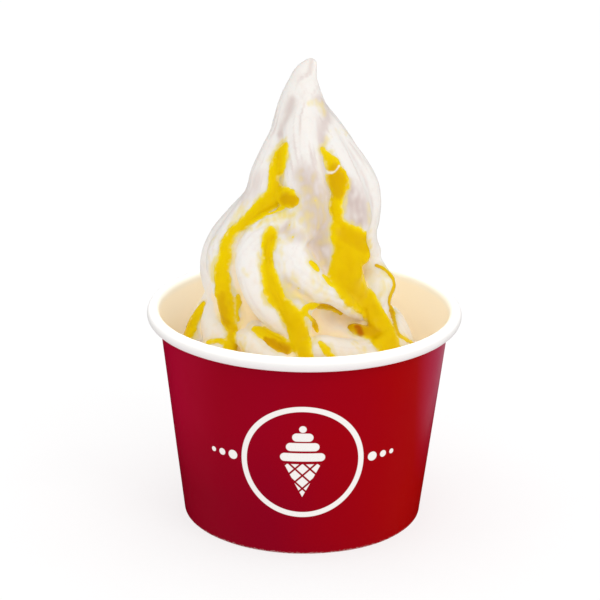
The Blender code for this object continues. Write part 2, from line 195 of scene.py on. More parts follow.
# Ridges of the coil, given in the same way.
COIL_RIDGES = {
    "right_low": (0, (
        (2, 82, 3.0), (-5, 77, 5.0), (-11, 73, 5.6), (-17, 68, 5.0), (-20, 63, 4.8), (-23, 56, 4.0),
    )),
    "front_right_low": (0, (
        (-88, 61, 3.4), (-74, 62, 4.6), (-62, 61, 5.0), (-50, 60, 5.0), (-40, 57, 4.4),
        (-32, 53, 3.4),
    )),
    "front_left_low": (0, (
        (-127, 64, 2.6), (-117, 63, 3.8), (-107, 61, 4.6), (-96, 58, 4.6), (-84, 55, 3.4),
    )),
    "middle_foot": (2.6, (
        (-94, 77, 2.6), (-92, 73, 3.8), (-90, 68, 4.6), (-87, 63, 4.2), (-84, 58, 3.0),
    )),
    "pool_floor": (3.4, (
        (-130, 67, 3.0), (-119, 65.5, 4.5), (-108, 63.5, 4.8), (-98, 60, 4.0), (-91, 56, 3.0),
    )),
    "left_fill": (3, ((-166, 78, 2.5), (-156, 72, 4.0), (-147, 67, 4.6), (-138, 62, 3.0))),
    "left_low": (0, (
        (-170, 71, 3.0), (-160, 66, 5.4), (-148, 62, 6.0), (-138, 59, 5.4), (-126, 54, 3.4),
    )),
    "far_left_low": (0, ((166, 72, 3.0), (174, 66, 5.4), (184, 60, 5.8), (198, 53, 3.6))),
}
# The ridges round the back of the coil follow one rule.
BACK_RIDGES = 5
BACK_RIDGE_FIRST = 6
BACK_RIDGE_STEP = 31
BACK_RIDGE = ((0, 73, 2.6), (8, 66, 5.4), (20, 60, 5.6), (36, 51, 3.4))

HEAD_SUNK = 2.4             # a ridge's head lies deeper still, so that it emerges slowly
PATH_STEPS = 10             # points between two stations
END_SHARES = (0.3, 0.55, 0.75, 0.9, 1)   # along the half ball at a tube's end
TUBE_SIDES = 28
RIDGE_NEIGHBOURS = 12       # points of the ridges that are looked at from each place
ICE_VOXEL = 0.55 * MM
ICE_ROUNDS = 15             # of smoothing
HIDDEN_TOP = 44 * MM        # below this the ice cream is hidden in the cup
HIDDEN_SHARE = 0.62         # of all faces, kept when the hidden ones are thinned out
SPECK_CORNERS = 30          # a loose bit with fewer is deleted
RELIEF = ((0.16 * MM, 4.5 * MM, 0.0), (0.05 * MM, 1.6 * MM, 7.0))   # lumps: height, size, seed
# Painted shade: the deeper a place lies in a groove, the greyer the ice cream's colour.
GROOVE_ROUNDS = 60          # of smoothing, which gives the level that grooves lie under
GROOVE_SHADE_DEEP = 0.5           # millimetres under that level, where a groove is darkest
TIP_GROOVE_SHADE_DEEP = 0.3
GROOVE_SHADE_SHARE = 0.7          # of a hollow's colour, in the darkest groove
TIP_FROM = 95               # millimetres up, where the swirl starts to turn into its tip
TIP_OVER = 25

# The strokes are fine lines that the nozzle drew along each ridge, in millimetres.
STROKE_WIDTH = 0.9
STROKE_LENGTH = 14
STROKE_SHIFT = 5.3          # sets each ridge's strokes apart from the next one's
STROKE_RISE = 0.05
TIP_STROKE_RISE = 0.14
STROKE_FADE = 1.6           # over which the strokes fade towards another ridge
STREAK_FROM = 0.05          # a stroke that is higher than this share has a melted streak
STREAK_OVER = 0.5
STREAK_SHARE = 0.2          # of the melted colour, in the strongest streak
TIP_STREAK_SHARE = 0.55

# ---- Sauce -----------------------------------------------------------------------
# Streams, stains and shades are laid out as someone sees them who looks at the front
# from a little above: stations (across, up, half a width) on a plane through the cup's
# axis that squarely faces the eye. Each lands where that line of sight does. The number
# before the stations is a stream's share of the usual depth, or a stain's strength.
EYE_ELEVATION = 19.86       # degrees
EYE_DISTANCE = 700 * MM
EYE_TARGET = 60 * MM        # height on the axis
SIGHT_SHARE = 0.4           # what a distance along the line of sight counts, when widths are taken
STREAM_STEPS = 12
SAUCE_STREAMS = {
    "left": (1, (
        (-6.5, 53.5, 1.1), (-7, 51.8, 1.8), (-7.8, 49.4, 2.2), (-8.7, 47, 2.2), (-9.8, 45, 1.5),
        (-10, 42.8, 1.2), (-9.6, 40.3, 1.9), (-9.9, 38, 2.4), (-12.4, 35.5, 2.6), (-14.2, 33.5, 2.5),
        (-16.8, 31.4, 2.1), (-20, 29, 1.5), (-22.5, 26.6, 1.4), (-24, 23.6, 1.6), (-24.4, 20, 1.9),
        (-25.2, 16.3, 2.1), (-25, 12.7, 2.4), (-24.8, 9, 2.5), (-23.7, 5.4, 2.7), (-23.3, 1.8, 2.5),
        (-22.5, -0.6, 1.9), (-21.6, -3.7, 1.4), (-22.3, -6.7, 1.9), (-22, -9.5, 1.6),
    )),
    "left_drop": (0.7, ((-9.4, 39, 2.2), (-7.2, 38.3, 2.7), (-5.4, 37.6, 2.7), (-4.4, 37, 2.2))),
    "left_side": (0.6, ((-20.3, 8.1, 0.4), (-20, 5.7, 0.7), (-20.5, 3.3, 0.4), (-20, 0.8, 0.5))),
    "left_foot": (0.45, ((-29.2, -6.3, 0.6), (-26.4, -5.8, 0.9), (-23.8, -6.1, 1.1), (-21.7, -7, 1.2))),
    "middle": (1, (
        (-10.5, 27.6, 1.3), (-10.7, 25.2, 2.3), (-10.8, 23.4, 2.3), (-11.2, 21, 1.9), (-11.4, 17.4, 1.9),
        (-10.7, 14.3, 2.3), (-10.1, 11.9, 2.6), (-9.4, 8.9, 2.5), (-7.9, 6.4, 2.4), (-5.8, 4.3, 2.6),
        (-3.7, 1.8, 3), (-2.4, -0.6, 2.8), (-1.6, -3.4, 2.9), (-1, -6.1, 2.9), (-0.1, -8.2, 2.4),
        (0.7, -11.2, 2.2), (1.5, -13.5, 2.2),
    )),
    "right": (1, (
        (4.9, 52.6, 0.6), (6.3, 50.5, 1.1), (7.6, 48.6, 1.9), (8.5, 46.2, 2.3), (9.4, 44, 3),
        (10, 42, 2.8), (9.8, 39.5, 1.8), (9.5, 37.1, 1.7), (9.1, 35, 1.9), (9.7, 32.2, 1.7),
        (9.8, 30.1, 1.9), (10.4, 28, 2.9), (12, 26.1, 4), (14.1, 24, 5.4), (14.9, 21.3, 6.2),
        (13.8, 18.3, 5.9), (13.3, 14.9, 6), (14, 12.2, 5.2), (14.9, 9.8, 4.8), (16.7, 7.6, 4.2),
        (18.8, 5.8, 3.7), (20.7, 3.3, 3.1), (22.3, 1.2, 3.2), (22.9, -0.9, 3.8), (23.7, -3.1, 4.2),
        (25, -5.2, 4), (26.2, -7.6, 3.8), (27.1, -10.3, 3.6),
    )),
    "spot": (0.8, ((14.1, -1.1, 0.8), (16, -1.9, 1.5), (18, -2.4, 1.8), (20.5, -3, 2.2))),
    "far_left": (1, (
        (-30.6, 5.5, 0.6), (-31.7, 3.7, 1), (-32.6, 1.9, 1.4), (-33.8, -0.5, 1.8), (-34.9, -3.2, 2),
        (-36.2, -6.2, 2.2),
    )),
    "hollow": (0.45, (
        (-15.2, -1.9, 0.9), (-12.8, -3.2, 1.6), (-10.1, -4.9, 2), (-7.7, -6.3, 2.3), (-5.5, -7.4, 2),
    )),
    "drip": (0.7, (
        (21.6, 17.7, 0.5), (24.6, 16.2, 0.5), (26.4, 14.2, 0.6), (27.1, 12.3, 0.6), (27, 10.8, 0.6),
        (26.2, 9, 0.6), (25.6, 7.2, 0.6), (26, 5.1, 0.6), (26.9, 3, 0.6), (27.5, 0.2, 0.6),
        (28.3, -2.8, 0.6), (30.5, -4.4, 0.6), (33.2, -5.9, 0.5),
    )),
    "front_stripe": (0.6, ((4.7, -5.8, 0.6), (6.2, -7.5, 1.1), (7.8, -9.5, 1.1), (8.9, -11.3, 0.9))),
    "brow_edge": (0.5, (
        (-0.7, 2.7, 1.1), (0.9, 4.5, 1), (3.3, 5.2, 0.8), (6.3, 5, 0.6), (9, 4.1, 0.5), (11.1, 3, 0.3),
    )),
    "under_brow": (0.5, ((0.6, 3, 0.6), (2.1, 1.2, 0.6), (3.3, -1, 0.4), (4, -2.5, 0.3))),
    "arch": (0.4, ((-14, 32.3, 0.4), (-11, 33, 0.5), (-7, 34.5, 0.5))),
    "crumb": (0.6, ((1.9, 18.4, 0.7), (3.1, 17, 0.8), (4, 16, 0.4))),
    "low_crumb": (0.6, ((5.5, 14.4, 0.4), (7, 12.9, 0.7), (8.2, 11.4, 0.5))),
}
# The same round the back, as (angle, height, half a width).
SAUCE_OUTSIDE = 60 * MM     # further out than any of the ice cream
BACK_STREAMS = {
    "right_side": (1, (
        (14, 108, 0.9), (14, 103, 2.4), (14, 98, 1.8), (16, 92, 1.3), (20, 86, 2), (26, 80, 2.9),
        (32, 75, 2.2), (40, 70, 1.6), (44, 65, 2.2), (43, 60, 2.9), (40, 56, 2.6),
    )),
    "right_side_drip": (0.8, ((26, 80, 1.4), (22, 76, 1.2), (20, 71, 0.8), (20, 67, 1.1))),
    "back_right": (1, (
        (61, 112, 0.8), (58, 107, 2.6), (58, 101, 2.9), (60, 95, 1.7), (65, 88, 1.4), (71, 83, 2.2),
        (78, 79, 3), (88, 72, 2.2), (96, 66, 1.5), (100, 60, 2.6),
    )),
    "back": (1, (
        (93, 108, 0.7), (92, 103, 1.6), (92, 98, 2.7), (95, 91, 2.4), (100, 84, 1.5), (106, 79, 1.3),
        (113, 73, 2.2), (122, 67, 2.4),
    )),
    "back_drop": (1, ((92, 101, 1.6), (87, 99.5, 2.2), (84, 98.5, 1.8))),
    "back_left": (1, (
        (124, 108, 0.8), (122, 103, 2.4), (123, 97, 2.6), (126, 91, 1.5), (131, 84, 1.3), (137, 79, 2),
        (144, 74, 2.6), (151, 68, 1.8), (160, 63, 1.6),
    )),
}
SAUCE_THIN = 0.25 * MM      # depth of the finest stream
SAUCE_SWELL = 0.26          # a stream is deeper by this share of its half width
SAUCE_DEEPEST = 1.0 * MM
SAUCE_POOL = 2.4 * MM       # the most that it adds where it fills a groove
POOL_ROUNDS = 200           # of smoothing, which gives the level of a filled groove
SAUCE_LUMPS = ((0.25, 3.5 * MM, 21.0),)   # share of the depth, size and seed
SAUCE_RAGGED = 0.45 * MM    # how far an edge strays in and out
RAGGED_EDGE = ((1, 2.6 * MM, 11.0), (0.9, 1.0 * MM, 5.0))   # share of it, size and seed
SAUCE_MARGIN = 0.8 * MM     # beyond a stream's edge, where the sauce dips under the skin
SAUCE_DIP = 0.3 * MM
SAUCE_ROOT = 0.8 * MM       # its underside lies this far under the skin
SAUCE_VOXEL = 0.375 * MM
SAUCE_ROUNDS = 2

# A pale edge inside each stream, the wider the stream the stronger.
PALE_REACH = 0.38           # millimetres
PALE_EDGE = ((0.6, 3.2 * MM, 17.0), (0.4, 0.9 * MM, 31.0))   # millimetres, size and seed
PALE_FADE = 0.9 * MM
PALE_FULL_WIDTH = 2 * MM    # half the width of a stream whose edge is palest

# A film of sauce outside each stream. Lumps move its edge in and out.
STAIN_REACH = 1.35 * MM
STAIN_BROAD = 1.6 * MM
STAIN_FINE = 0.8 * MM
STAIN_FADE = 1.6 * MM
STAIN_STRENGTH = 0.85

# Lumps that break up the stains, longer than they are wide: size, stretch and seed.
BROAD_LUMPS = (3.2 * MM, (1, 1, 0.6), 17.0)
FINE_LUMPS = (1.3 * MM, (1, 1, 0.6), 31.0)
FILM_BREAKS = (0.42, 0.6, 0.7)   # how full a film is, and what fine and broad lumps add
MELT_AND_SHADE_BREAKS = (0.8, 0.3, 0.4)
FILM_SOFTNESS = 1.2         # of an edge, as a share of half the patch's width
MELT_AND_SHADE_SOFTNESS = 2
SHADE_SOFTNESS = 0.9
GLINT_SOFTNESS = 0.5
MELT_AND_SHADE_RAGGED = 0.6 * MM
SHADE_RAGGED = ((0.5 * MM, 1.5 * MM, 2.0),)   # reach, size and seed

# Small drops of sauce on that film.
DROP_DENSITY = 3e4          # to a square metre, where the film is full
DROP_SMALLEST = 0.14 * MM
DROP_LARGEST = 0.34 * MM
DROP_FLATNESS = 0.35
DROP_SEED = 5

# Thin stains on the ice cream, and tones in the sauce, given like the streams. Some of the grey on the ice
# cream and of the amber in the sauce is painted shade, and the cream curl in the sauce is a painted
# highlight.
FILM = {
    "tip": (0.6, ((0.8, 66.4, 0.8), (2.6, 66.9, 1), (4.4, 65.9, 1.3), (4.7, 63.5, 1.2))),
    "strip": (0.6, (
        (0, 44, 2.7), (1.5, 38, 3.6), (3, 31.5, 4.2), (4, 25, 4.2), (4.5, 18.5, 3.9), (4.5, 11.5, 3),
        (5.5, 7, 2.4),
    )),
    "right_crest": (0.8, ((5.5, 54, 0.6), (7, 57, 0.9), (9.5, 58, 1), (12, 57.5, 0.8))),
    "arch": (1, ((-16, 29, 1.3), (-12.5, 31.5, 1.7), (-8, 32.5, 2.0), (-4.5, 33, 1.8))),
    "drop": (0.9, ((-4.8, 37.6, 3.4), (-2.5, 36, 2.4))),
    "far_left_edge": (0.4, ((-27.8, 25, 1.5), (-28.5, 20, 1.6), (-28, 15, 1.3))),
    "foot_pit": (0.9, ((-19.6, -6.8, 1.2), (-18.8, -8.4, 1.2))),
    "left_shoulder": (0.7, ((-2, 31, 2.2), (-4, 28, 2.2), (-6, 25, 1.6))),
    "right_lobe": (0.5, ((19, 36, 0.8), (19.5, 31, 0.9), (19, 25, 0.8))),
    "coil_spot": (0.8, ((22.5, 13, 1.6), (23.5, 9.5, 1.6))),
    "left_edge": (0.6, ((-18, 36, 1.2), (-20.5, 33, 1.2), (-22.5, 30, 0.9))),
    "fold_spot": (0.6, ((-18.5, 15.5, 0.9), (-17, 14.5, 0.9))),
    "brow_foot": (1, ((-3.2, 8, 1.3), (-1, 6.2, 1.7), (1.5, 5.8, 1.3))),
    "brow_left": (0.9, ((-7, 22, 1.2), (-6, 16, 1.8), (-3.5, 10.5, 2.7), (-1, 7, 2.4))),
    "left_inner": (0.7, ((-20.5, 8.5, 1.2), (-20, 3.5, 1.2), (-20, -0.5, 0.9))),
    "low_left": (0.7, ((-18.5, -4.5, 0.9), (-17.5, -8, 0.9))),
    "front_low": (0.8, ((15.5, -6, 1.1), (18, -8, 1.3))),
    "under_brow": (0.9, ((-2, 6.5, 1.5), (-0.5, 3.5, 1.6), (1.5, 0.5, 1.4))),
    "stripe_side": (0.8, ((2, -4, 1.3), (4, -7, 1.3), (4.5, -10, 1.3))),
}
# Where the ice cream has melted a little, it is greyer, with a touch of pink. The same grey is painted as
# shade where sides lie out of the light: the tip's and the left lobe's left sides, the brow's top and foot,
# the cave and right_shade.
MELT_AND_SHADE = {
    "tip_left_shade": (0.6, ((-4.5, 67.5, 1), (-5.5, 64, 1.3), (-7, 60.5, 1.1), (-8.3, 57, 0.8))),
    "tip_right": (0.6, ((3.5, 68, 1.2), (5.5, 66, 1.6), (6, 62.5, 1.6), (5, 59, 1.2), (5, 55, 1))),
    "strip": (1, ((0, 45, 3), (2, 39, 3.8), (3.5, 32, 4.2), (5, 25, 4), (6.5, 17, 2.2))),
    "right_shade": (1, ((12.5, 42, 2.2), (14.5, 38, 3.2), (15.5, 34, 3.4), (16.5, 30.5, 2.6))),
    "left_lobe_shade": (0.45, ((-14, 44, 2), (-16, 40.5, 2.4), (-19, 37, 2))),
    "brow_top_shade": (0.6, ((-6, 27.6, 1.4), (-4, 27, 1.9), (-1, 26.4, 1.8))),
    "brow_foot": (0.7, ((-6, 13.5, 1.3), (-4, 10.5, 1.8), (-1.5, 8, 1.8), (1, 6.6, 1.2))),
    "cave_shade": (0.5, ((8, 1, 2.2), (13, 0.5, 2.4), (16, 1.5, 1.6))),
}
# Amber in the sauce: where it is deeper, and as painted shade where it lies in hollows and under folds
# (hollow, right_upper).
AMBER = {
    "blob": (0.7, ((-6, 37.5, 1.8), (-4, 37, 1.8))),
    "hollow": (0.9, ((-11.5, -5.4, 1), (-8.5, -7, 1.4), (-5.5, -8.1, 1.6))),
    "left_low": (0.4, ((-25.2, 8, 1.2), (-24.6, 4, 1.4), (-23.5, 0, 1.2))),
    "pool": (0.2, ((10.5, 22, 3), (12, 17, 4), (13.5, 12, 4))),
    "pool_top": (0.35, ((11.5, 27, 2.4), (15.5, 25, 2.4), (18, 23.5, 2))),
    "right_upper": (0.55, ((8.5, 46.2, 2), (9.6, 43, 2.4), (9.8, 39.5, 1.8))),
    "landing": (0.6, ((14, -1.2, 1.6), (18.5, -2, 2), (21.5, -3, 2))),
    "drip": (0.5, ((21.6, 17.7, 0.8), (27.1, 12.3, 0.9), (25.6, 7.2, 0.9), (28.3, -2.8, 0.9))),
}
BROWN = {"spot": (0.8, ((15.9, -1.3, 1), (16.8, -2.6, 1.2)))}
# A painted highlight: a thin curl of cream colour in the sauce, where a glint lies on the right stream.
GLINT_THREAD = {
    "thread": (1, (
        (4.3, 49, 0.4), (4.8, 46.9, 0.4), (6, 45.8, 0.45), (7.4, 45.5, 0.45), (8.8, 46, 0.4),
        (9.9, 47.6, 0.35),
    )),
}

# ---- Print on the cup, in millimetres along the paper ----------------------------
BADGE_HEIGHT = 31.5         # of its middle, up the wall
BADGE_RADIUS = 17.6
BADGE_LINE = 1.7
CONE_TIP = -11.6            # from the badge's middle
CONE_TOP = -0.6
CONE_HALF_WIDTH = 5.4       # at its top
CONE_RULE = 3.1             # between the lines of the wafer
CONE_RULE_WIDTH = 0.6
SCOOPS = ((1.7, 6.6), (5.1, 4.9), (8.3, 3.1))   # height and half width of each turn
SCOOP_HALF_HEIGHT = 1.35
PEAK_HEIGHT = 11.0
PEAK_RADIUS = 1.1
SIDE_DOTS = ((21.4, 1.5), (25.2, 1.1), (28.4, 0.8))   # place to either side, and radius
INK_EDGE = 0.14             # over which print fades out

# ---- Stage, lights and camera ----------------------------------------------------
LENS_PIXELS = 2312          # focal length, in pixels of the photograph's width
PICTURE_SIZE = 600
VIEW_MIDDLE = (304.3, 322.9)   # where the line of sight meets the picture
VIEW_ROLL = 0.726           # degrees
FLOOR_RADIUS = 2.5
FLOOR_DROP = 0.05 * MM
SKY_STRENGTH = 0.95

# Square lamps: their place, side, power in watts, and what they shine at.
KEY_LAMP = ((0.6, -0.7, 0.8), 0.5, 1.4, (0, 0, 0.08))
LINING_LAMP = ((0, -0.02, 0.28), 0.05, 0.30, (0, 0, 0.08))
EDGE_PANEL = ((0.14, 0.09, 0.003), 0.14, 0.05, (0.14, 0.09, 1))


# ==== Nodes ========================================================================


def found(sockets, key):
    """The socket in use that has this name, identifier or number."""
    shown = [socket for socket in sockets if socket.enabled]
    if isinstance(key, int):
        return shown[key]
    return next(socket for socket in shown if key in (socket.name, socket.identifier))


def operator(operation, reflected=False):
    """A method of Wire that adds a Math node."""
    def method(wire, *others):
        values = (*others, wire) if reflected else (wire, *others)
        return wire.graph.maths(operation, *values)
    return method


class Wire:
    """A node's output, which takes part in sums as a number does."""

    def __init__(self, graph, socket):
        self.graph = graph
        self.socket = socket

    __add__ = operator("ADD")
    __radd__ = operator("ADD", reflected=True)
    __sub__ = operator("SUBTRACT")
    __rsub__ = operator("SUBTRACT", reflected=True)
    __mul__ = operator("MULTIPLY")
    __rmul__ = operator("MULTIPLY", reflected=True)
    __truediv__ = operator("DIVIDE")
    __abs__ = operator("ABSOLUTE")
    least = operator("MINIMUM")
    most = operator("MAXIMUM")

    def clamped(self):
        return self.graph.maths("ADD", self, 0, clamp=True)

    def ramp(self, start, end):
        """A share that goes from 0 to 1 between two values."""
        return ((self - start) / (end - start)).clamped()


class Graph:
    """A tree of nodes. Each call of node adds one and gives back one of its outputs."""

    def __init__(self, tree):
        self.tree = tree
        tree.nodes.clear()

    def node(self, kind, settings=None, sockets=None, output=0):
        node = self.tree.nodes.new(kind)
        for name, value in (settings or {}).items():
            if name == "stops":
                self.set_stops(node.color_ramp.elements, value)
            else:
                setattr(node, name, value)
        for key, value in (sockets or {}).items():
            socket = found(node.inputs, key)
            if isinstance(value, Wire):
                self.tree.links.new(value.socket, socket)
            elif isinstance(value, list):
                for wire in value:
                    self.tree.links.new(wire.socket, socket)
            else:
                socket.default_value = value
        return Wire(self, found(node.outputs, output)) if node.outputs else None

    @staticmethod
    def set_stops(elements, stops):
        while len(elements) < len(stops):
            elements.new(1)
        for element, (place, colour) in zip(elements, stops):
            element.position = place
            element.color = colour

    def maths(self, operation, *values, clamp=False):
        settings = {"operation": operation, "use_clamp": clamp}
        return self.node("ShaderNodeMath", settings, dict(enumerate(values)))

    def stretched(self, vector, scale):
        return self.node("ShaderNodeVectorMath", {"operation": "MULTIPLY"}, {0: vector, 1: scale})

    def length(self, vector):
        return self.node("ShaderNodeVectorMath", {"operation": "LENGTH"}, {0: vector}, "Value")

    def distance(self, across, up):
        """How long a step across and up is."""
        return self.length(self.node("ShaderNodeCombineXYZ", None, {"X": across, "Y": up}))

    def place(self):
        return self.node("ShaderNodeTexCoord", output="Object")

    def axis(self, name):
        """How far along an axis a place of the piece is, in millimetres."""
        return self.node("ShaderNodeSeparateXYZ", None, {0: self.place()}, name) / MM

    def attribute(self, name):
        return self.node("ShaderNodeAttribute", {"attribute_name": name}, output="Fac")

    def grain(self, size, detail=3, stretch=(1, 1, 1)):
        """Noise from 0 to 1, its lumps about as wide as a size in metres."""
        place = self.stretched(self.place(), tuple(share / size for share in stretch))
        return self.node("ShaderNodeTexNoise", None, {"Vector": place, "Scale": 1.0, "Detail": detail})

    def bump(self, height, strength, depth, below=None):
        sockets = {"Height": height, "Strength": strength, "Distance": depth}
        if below:
            sockets["Normal"] = below
        return self.node("ShaderNodeBump", None, sockets)

    def coated(self, colour, *coats):
        """A colour under others, each of them laid on by a share from 0 to 1."""
        for share, coat in coats:
            sockets = {"Factor": share, "A": colour, "B": coat}
            colour = self.node("ShaderNodeMix", {"data_type": "RGBA"}, sockets, "Result")
        return colour


def new_material(name, finish):
    """A material whose graph is filled in by finish, which gives the shader's sockets."""
    material = bpy.data.materials.new(name)
    material.use_nodes = True
    graph = Graph(material.node_tree)
    shader = graph.node("ShaderNodeBsdfPrincipled", None, finish(graph))
    graph.node("ShaderNodeOutputMaterial", None, {"Surface": shader})
    return material


def new_recipe(name, inputs):
    """A Geometry Nodes tree: its graph, the wires of its inputs and their identifiers."""
    tree = bpy.data.node_groups.new(name, "GeometryNodeTree")
    graph = Graph(tree)
    tree.interface.new_socket("Geometry", in_out="OUTPUT", socket_type="NodeSocketGeometry")
    identifiers = {}
    for title, kind in inputs.items():
        socket = tree.interface.new_socket(title, in_out="INPUT", socket_type="NodeSocket" + kind)
        identifiers[title] = socket.identifier
    entry = tree.nodes.new("NodeGroupInput")
    wires = {title: Wire(graph, entry.outputs[title]) for title in inputs}
    return graph, wires, identifiers


def end_recipe(graph, shape, material):
    """The tree's last nodes: real faces, shaded smooth, of one material."""
    real = graph.node("GeometryNodeRealizeInstances", None, {"Geometry": shape})
    smooth = graph.node("GeometryNodeSetShadeSmooth", None, {"Geometry": real})
    coated = graph.node("GeometryNodeSetMaterial", None, {"Geometry": smooth, "Material": material})
    graph.node("NodeGroupOutput", None, {0: coated})


def follow(obj, graph, identifiers, values):
    """Give an object a recipe's modifier, with a value for each of its inputs."""
    modifier = obj.modifiers.new(graph.tree.name, "NODES")
    modifier.node_group = graph.tree
    for title, value in values.items():
        modifier[identifiers[title]] = value


# ==== Meshes =======================================================================


def new_object(name, data):
    obj = bpy.data.objects.new(name, data)
    bpy.context.scene.collection.objects.link(obj)
    return obj


def settle(obj, material):
    """Replace an object's mesh by its evaluated one, of one material, without modifiers."""
    bpy.context.view_layer.update()
    graph = bpy.context.evaluated_depsgraph_get()
    mesh = bpy.data.meshes.new_from_object(obj.evaluated_get(graph))
    obj.modifiers.clear()
    obj.data = mesh
    mesh.name = obj.name
    mesh.materials.clear()
    mesh.materials.append(material)


def fuse(obj, voxel, rounds, material):
    """Fuse what overlaps in an object to one skin, and smooth it."""
    remesh = obj.modifiers.new("Fuse", "REMESH")
    remesh.mode = "VOXEL"
    remesh.voxel_size = voxel
    remesh.use_smooth_shade = True
    smooth = obj.modifiers.new("Soften", "SMOOTH")
    smooth.factor = 0.5
    smooth.iterations = rounds
    settle(obj, material)


@contextmanager
def opened(mesh):
    """A mesh's corners, edges and faces, to be changed and then written back."""
    body = bmesh.new()
    body.from_mesh(mesh)
    yield body
    body.to_mesh(mesh)
    body.free()


def drop_specks(mesh):
    """Delete the specks that fusing leaves, which have only a few corners."""
    with opened(mesh) as body:
        seen = set()
        specks = []
        for first in body.verts:
            if first in seen:
                continue
            seen.add(first)
            island = [first]
            for corner in island:
                others = [edge.other_vert(corner) for edge in corner.link_edges]
                fresh = [other for other in others if other not in seen]
                seen.update(fresh)
                island.extend(fresh)
            if len(island) < SPECK_CORNERS:
                specks.extend(island)
        bmesh.ops.delete(body, geom=specks, context="VERTS")


def arrays_of(mesh):
    """The places and the normals of a mesh's vertices, as arrays."""
    count = len(mesh.vertices)
    places = numpy.empty(count * 3)
    mesh.vertices.foreach_get("co", places)
    normals = numpy.empty(count * 3)
    mesh.vertex_normals.foreach_get("vector", normals)
    return places.reshape(count, 3), normals.reshape(count, 3)


def move_to(mesh, places):
    mesh.vertices.foreach_set("co", places.ravel())
    mesh.update()


def set_attribute(mesh, name, values):
    layer = mesh.attributes.new(name, "FLOAT", "POINT")
    layer.data.foreach_set("value", numpy.asarray(values, dtype=numpy.float32))


def values_of(mesh, name):
    values = numpy.empty(len(mesh.vertices), dtype=numpy.float32)
    mesh.attributes[name].data.foreach_get("value", values)
    return values


def tree_of(mesh):
    body = bmesh.new()
    body.from_mesh(mesh)
    tree = BVHTree.FromBMesh(body)
    body.free()
    return tree


def lumps(places, size, stretch=(1, 1, 1), seed=0.0):
    """Smooth noise from about -1 to 1 at each place, with lumps as wide as a size."""
    scaled = places * numpy.array(stretch) / size + seed
    return numpy.array([noise.noise(place) for place in scaled.tolist()])


def layered_lumps(places, layers):
    """Lumps of several sizes at once: the height, the size and the seed of each layer."""
    return sum(height * lumps(places, size, seed=seed) for height, size, seed in layers)


def eased(share):
    """A share held between 0 and 1, with soft ends."""
    share = numpy.clip(share, 0, 1)
    return share * share * (3 - 2 * share)


# ==== Materials ====================================================================


def ice_cream_finish(graph):
    """Moist white ice cream with thin stains of sauce. The grey in its grooves is painted shade, the lower
    grooves glow with painted light, and some of the melted grey is painted shade too.
    """
    high_white = (0.91, 0.872, 0.83, 1)
    low_white = (0.92, 0.86, 0.78, 1)
    # Painted shade in the grooves: pinkish grey high up, warmer low down.
    high_groove_shade = (0.80, 0.70, 0.66, 1)
    low_groove_shade = (0.90, 0.71, 0.44, 1)
    film = (0.88, 0.73, 0.24, 1)
    # Grey of melted ice cream, which is also laid on as painted shade where sides lie out of the light.
    melt_and_shade_grey = (0.63, 0.505, 0.47, 1)
    dark = (0, 0, 0, 1)
    groove_glow = (0.22, 0.17, 0.07, 1)     # painted light: a glow in the lower grooves, for the light that comes through into a groove
    height = graph.axis("Z")
    in_groove = graph.attribute("hollow")
    mottle = graph.grain(2.2 * MM) - 0.5
    # Painted shade: the groove colour, laid in by the groove's depth; the mottle lays the same colour in at
    # random.
    hollow = graph.coated(high_groove_shade, (height.ramp(90, 70), low_groove_shade))
    colour = graph.coated(
        high_white,
        (height.ramp(73, 65), low_white),
        (in_groove, hollow),
        ((mottle * 1.2).clamped(), hollow),
        (graph.attribute("melt"), melt_and_shade_grey),
        (graph.attribute("film"), film),
    )
    crystals = graph.grain(0.45 * MM, 2)
    drawn_lines = graph.grain(0.9 * MM, 2, (1, 1, 0.12))
    skin = graph.bump(crystals, strength=0.3, depth=0.06 * MM)
    return {
        "Base Color": colour,
        "Emission Color": graph.coated(dark, (in_groove * height.ramp(100, 80), groove_glow)),
        "Emission Strength": 1.0,
        "Roughness": 0.4 + mottle * 0.25,
        "Normal": graph.bump(drawn_lines, strength=0.35, depth=0.15 * MM, below=skin),
        "Specular IOR Level": 0.3,
        "Subsurface Weight": 0.4,
        "Subsurface Radius": (1.0, 0.8, 0.7),
        "Subsurface Scale": 2.0 * MM,
    }


def sauce_finish(graph):
    """Wet fruit sauce, paler where it is thin, amber where it is deep and as painted shade where it lies in
    shadow, with a painted highlight in cream.
    """
    stops = (
        (0.0, (0.92, 0.72, 0.03, 1)),
        (0.2, (0.89, 0.66, 0.001, 1)),
        (0.6, (0.86, 0.61, 0.0, 1)),
        (1.0, (0.82, 0.55, 0.0, 1)),
    )
    pale = (0.92, 0.78, 0.26, 1)
    amber = (0.64, 0.32, 0.0, 1)
    brown = (0.45, 0.07, 0.002, 1)
    # cream: the colour of the painted highlight
    cream = (0.93, 0.88, 0.80, 1)
    pulp = graph.grain(1.1 * MM, 2)
    cloud = graph.grain(4 * MM, 2)
    depth = graph.attribute("depth") + (pulp - 0.5) * 0.3
    colour = graph.coated(
        graph.node("ShaderNodeValToRGB", {"stops": stops}, {"Fac": depth}),
        (((cloud - 0.5) * 1.5).clamped() * 0.5, amber),
        (graph.attribute("thin"), pale),
        (graph.attribute("amber"), amber),
        (graph.attribute("brown"), brown),
        (graph.attribute("cream"), cream),
    )
    return {
        "Base Color": colour,
        "Roughness": 0.2 + (graph.grain(3 * MM) - 0.5) * 0.2,
        "Normal": graph.bump(pulp, strength=0.25, depth=0.12 * MM),
        "Specular IOR Level": 0.07,
        "Subsurface Weight": 0.15,
        "Subsurface Radius": (1.0, 0.6, 0.1),
        "Subsurface Scale": 0.4 * MM,
    }


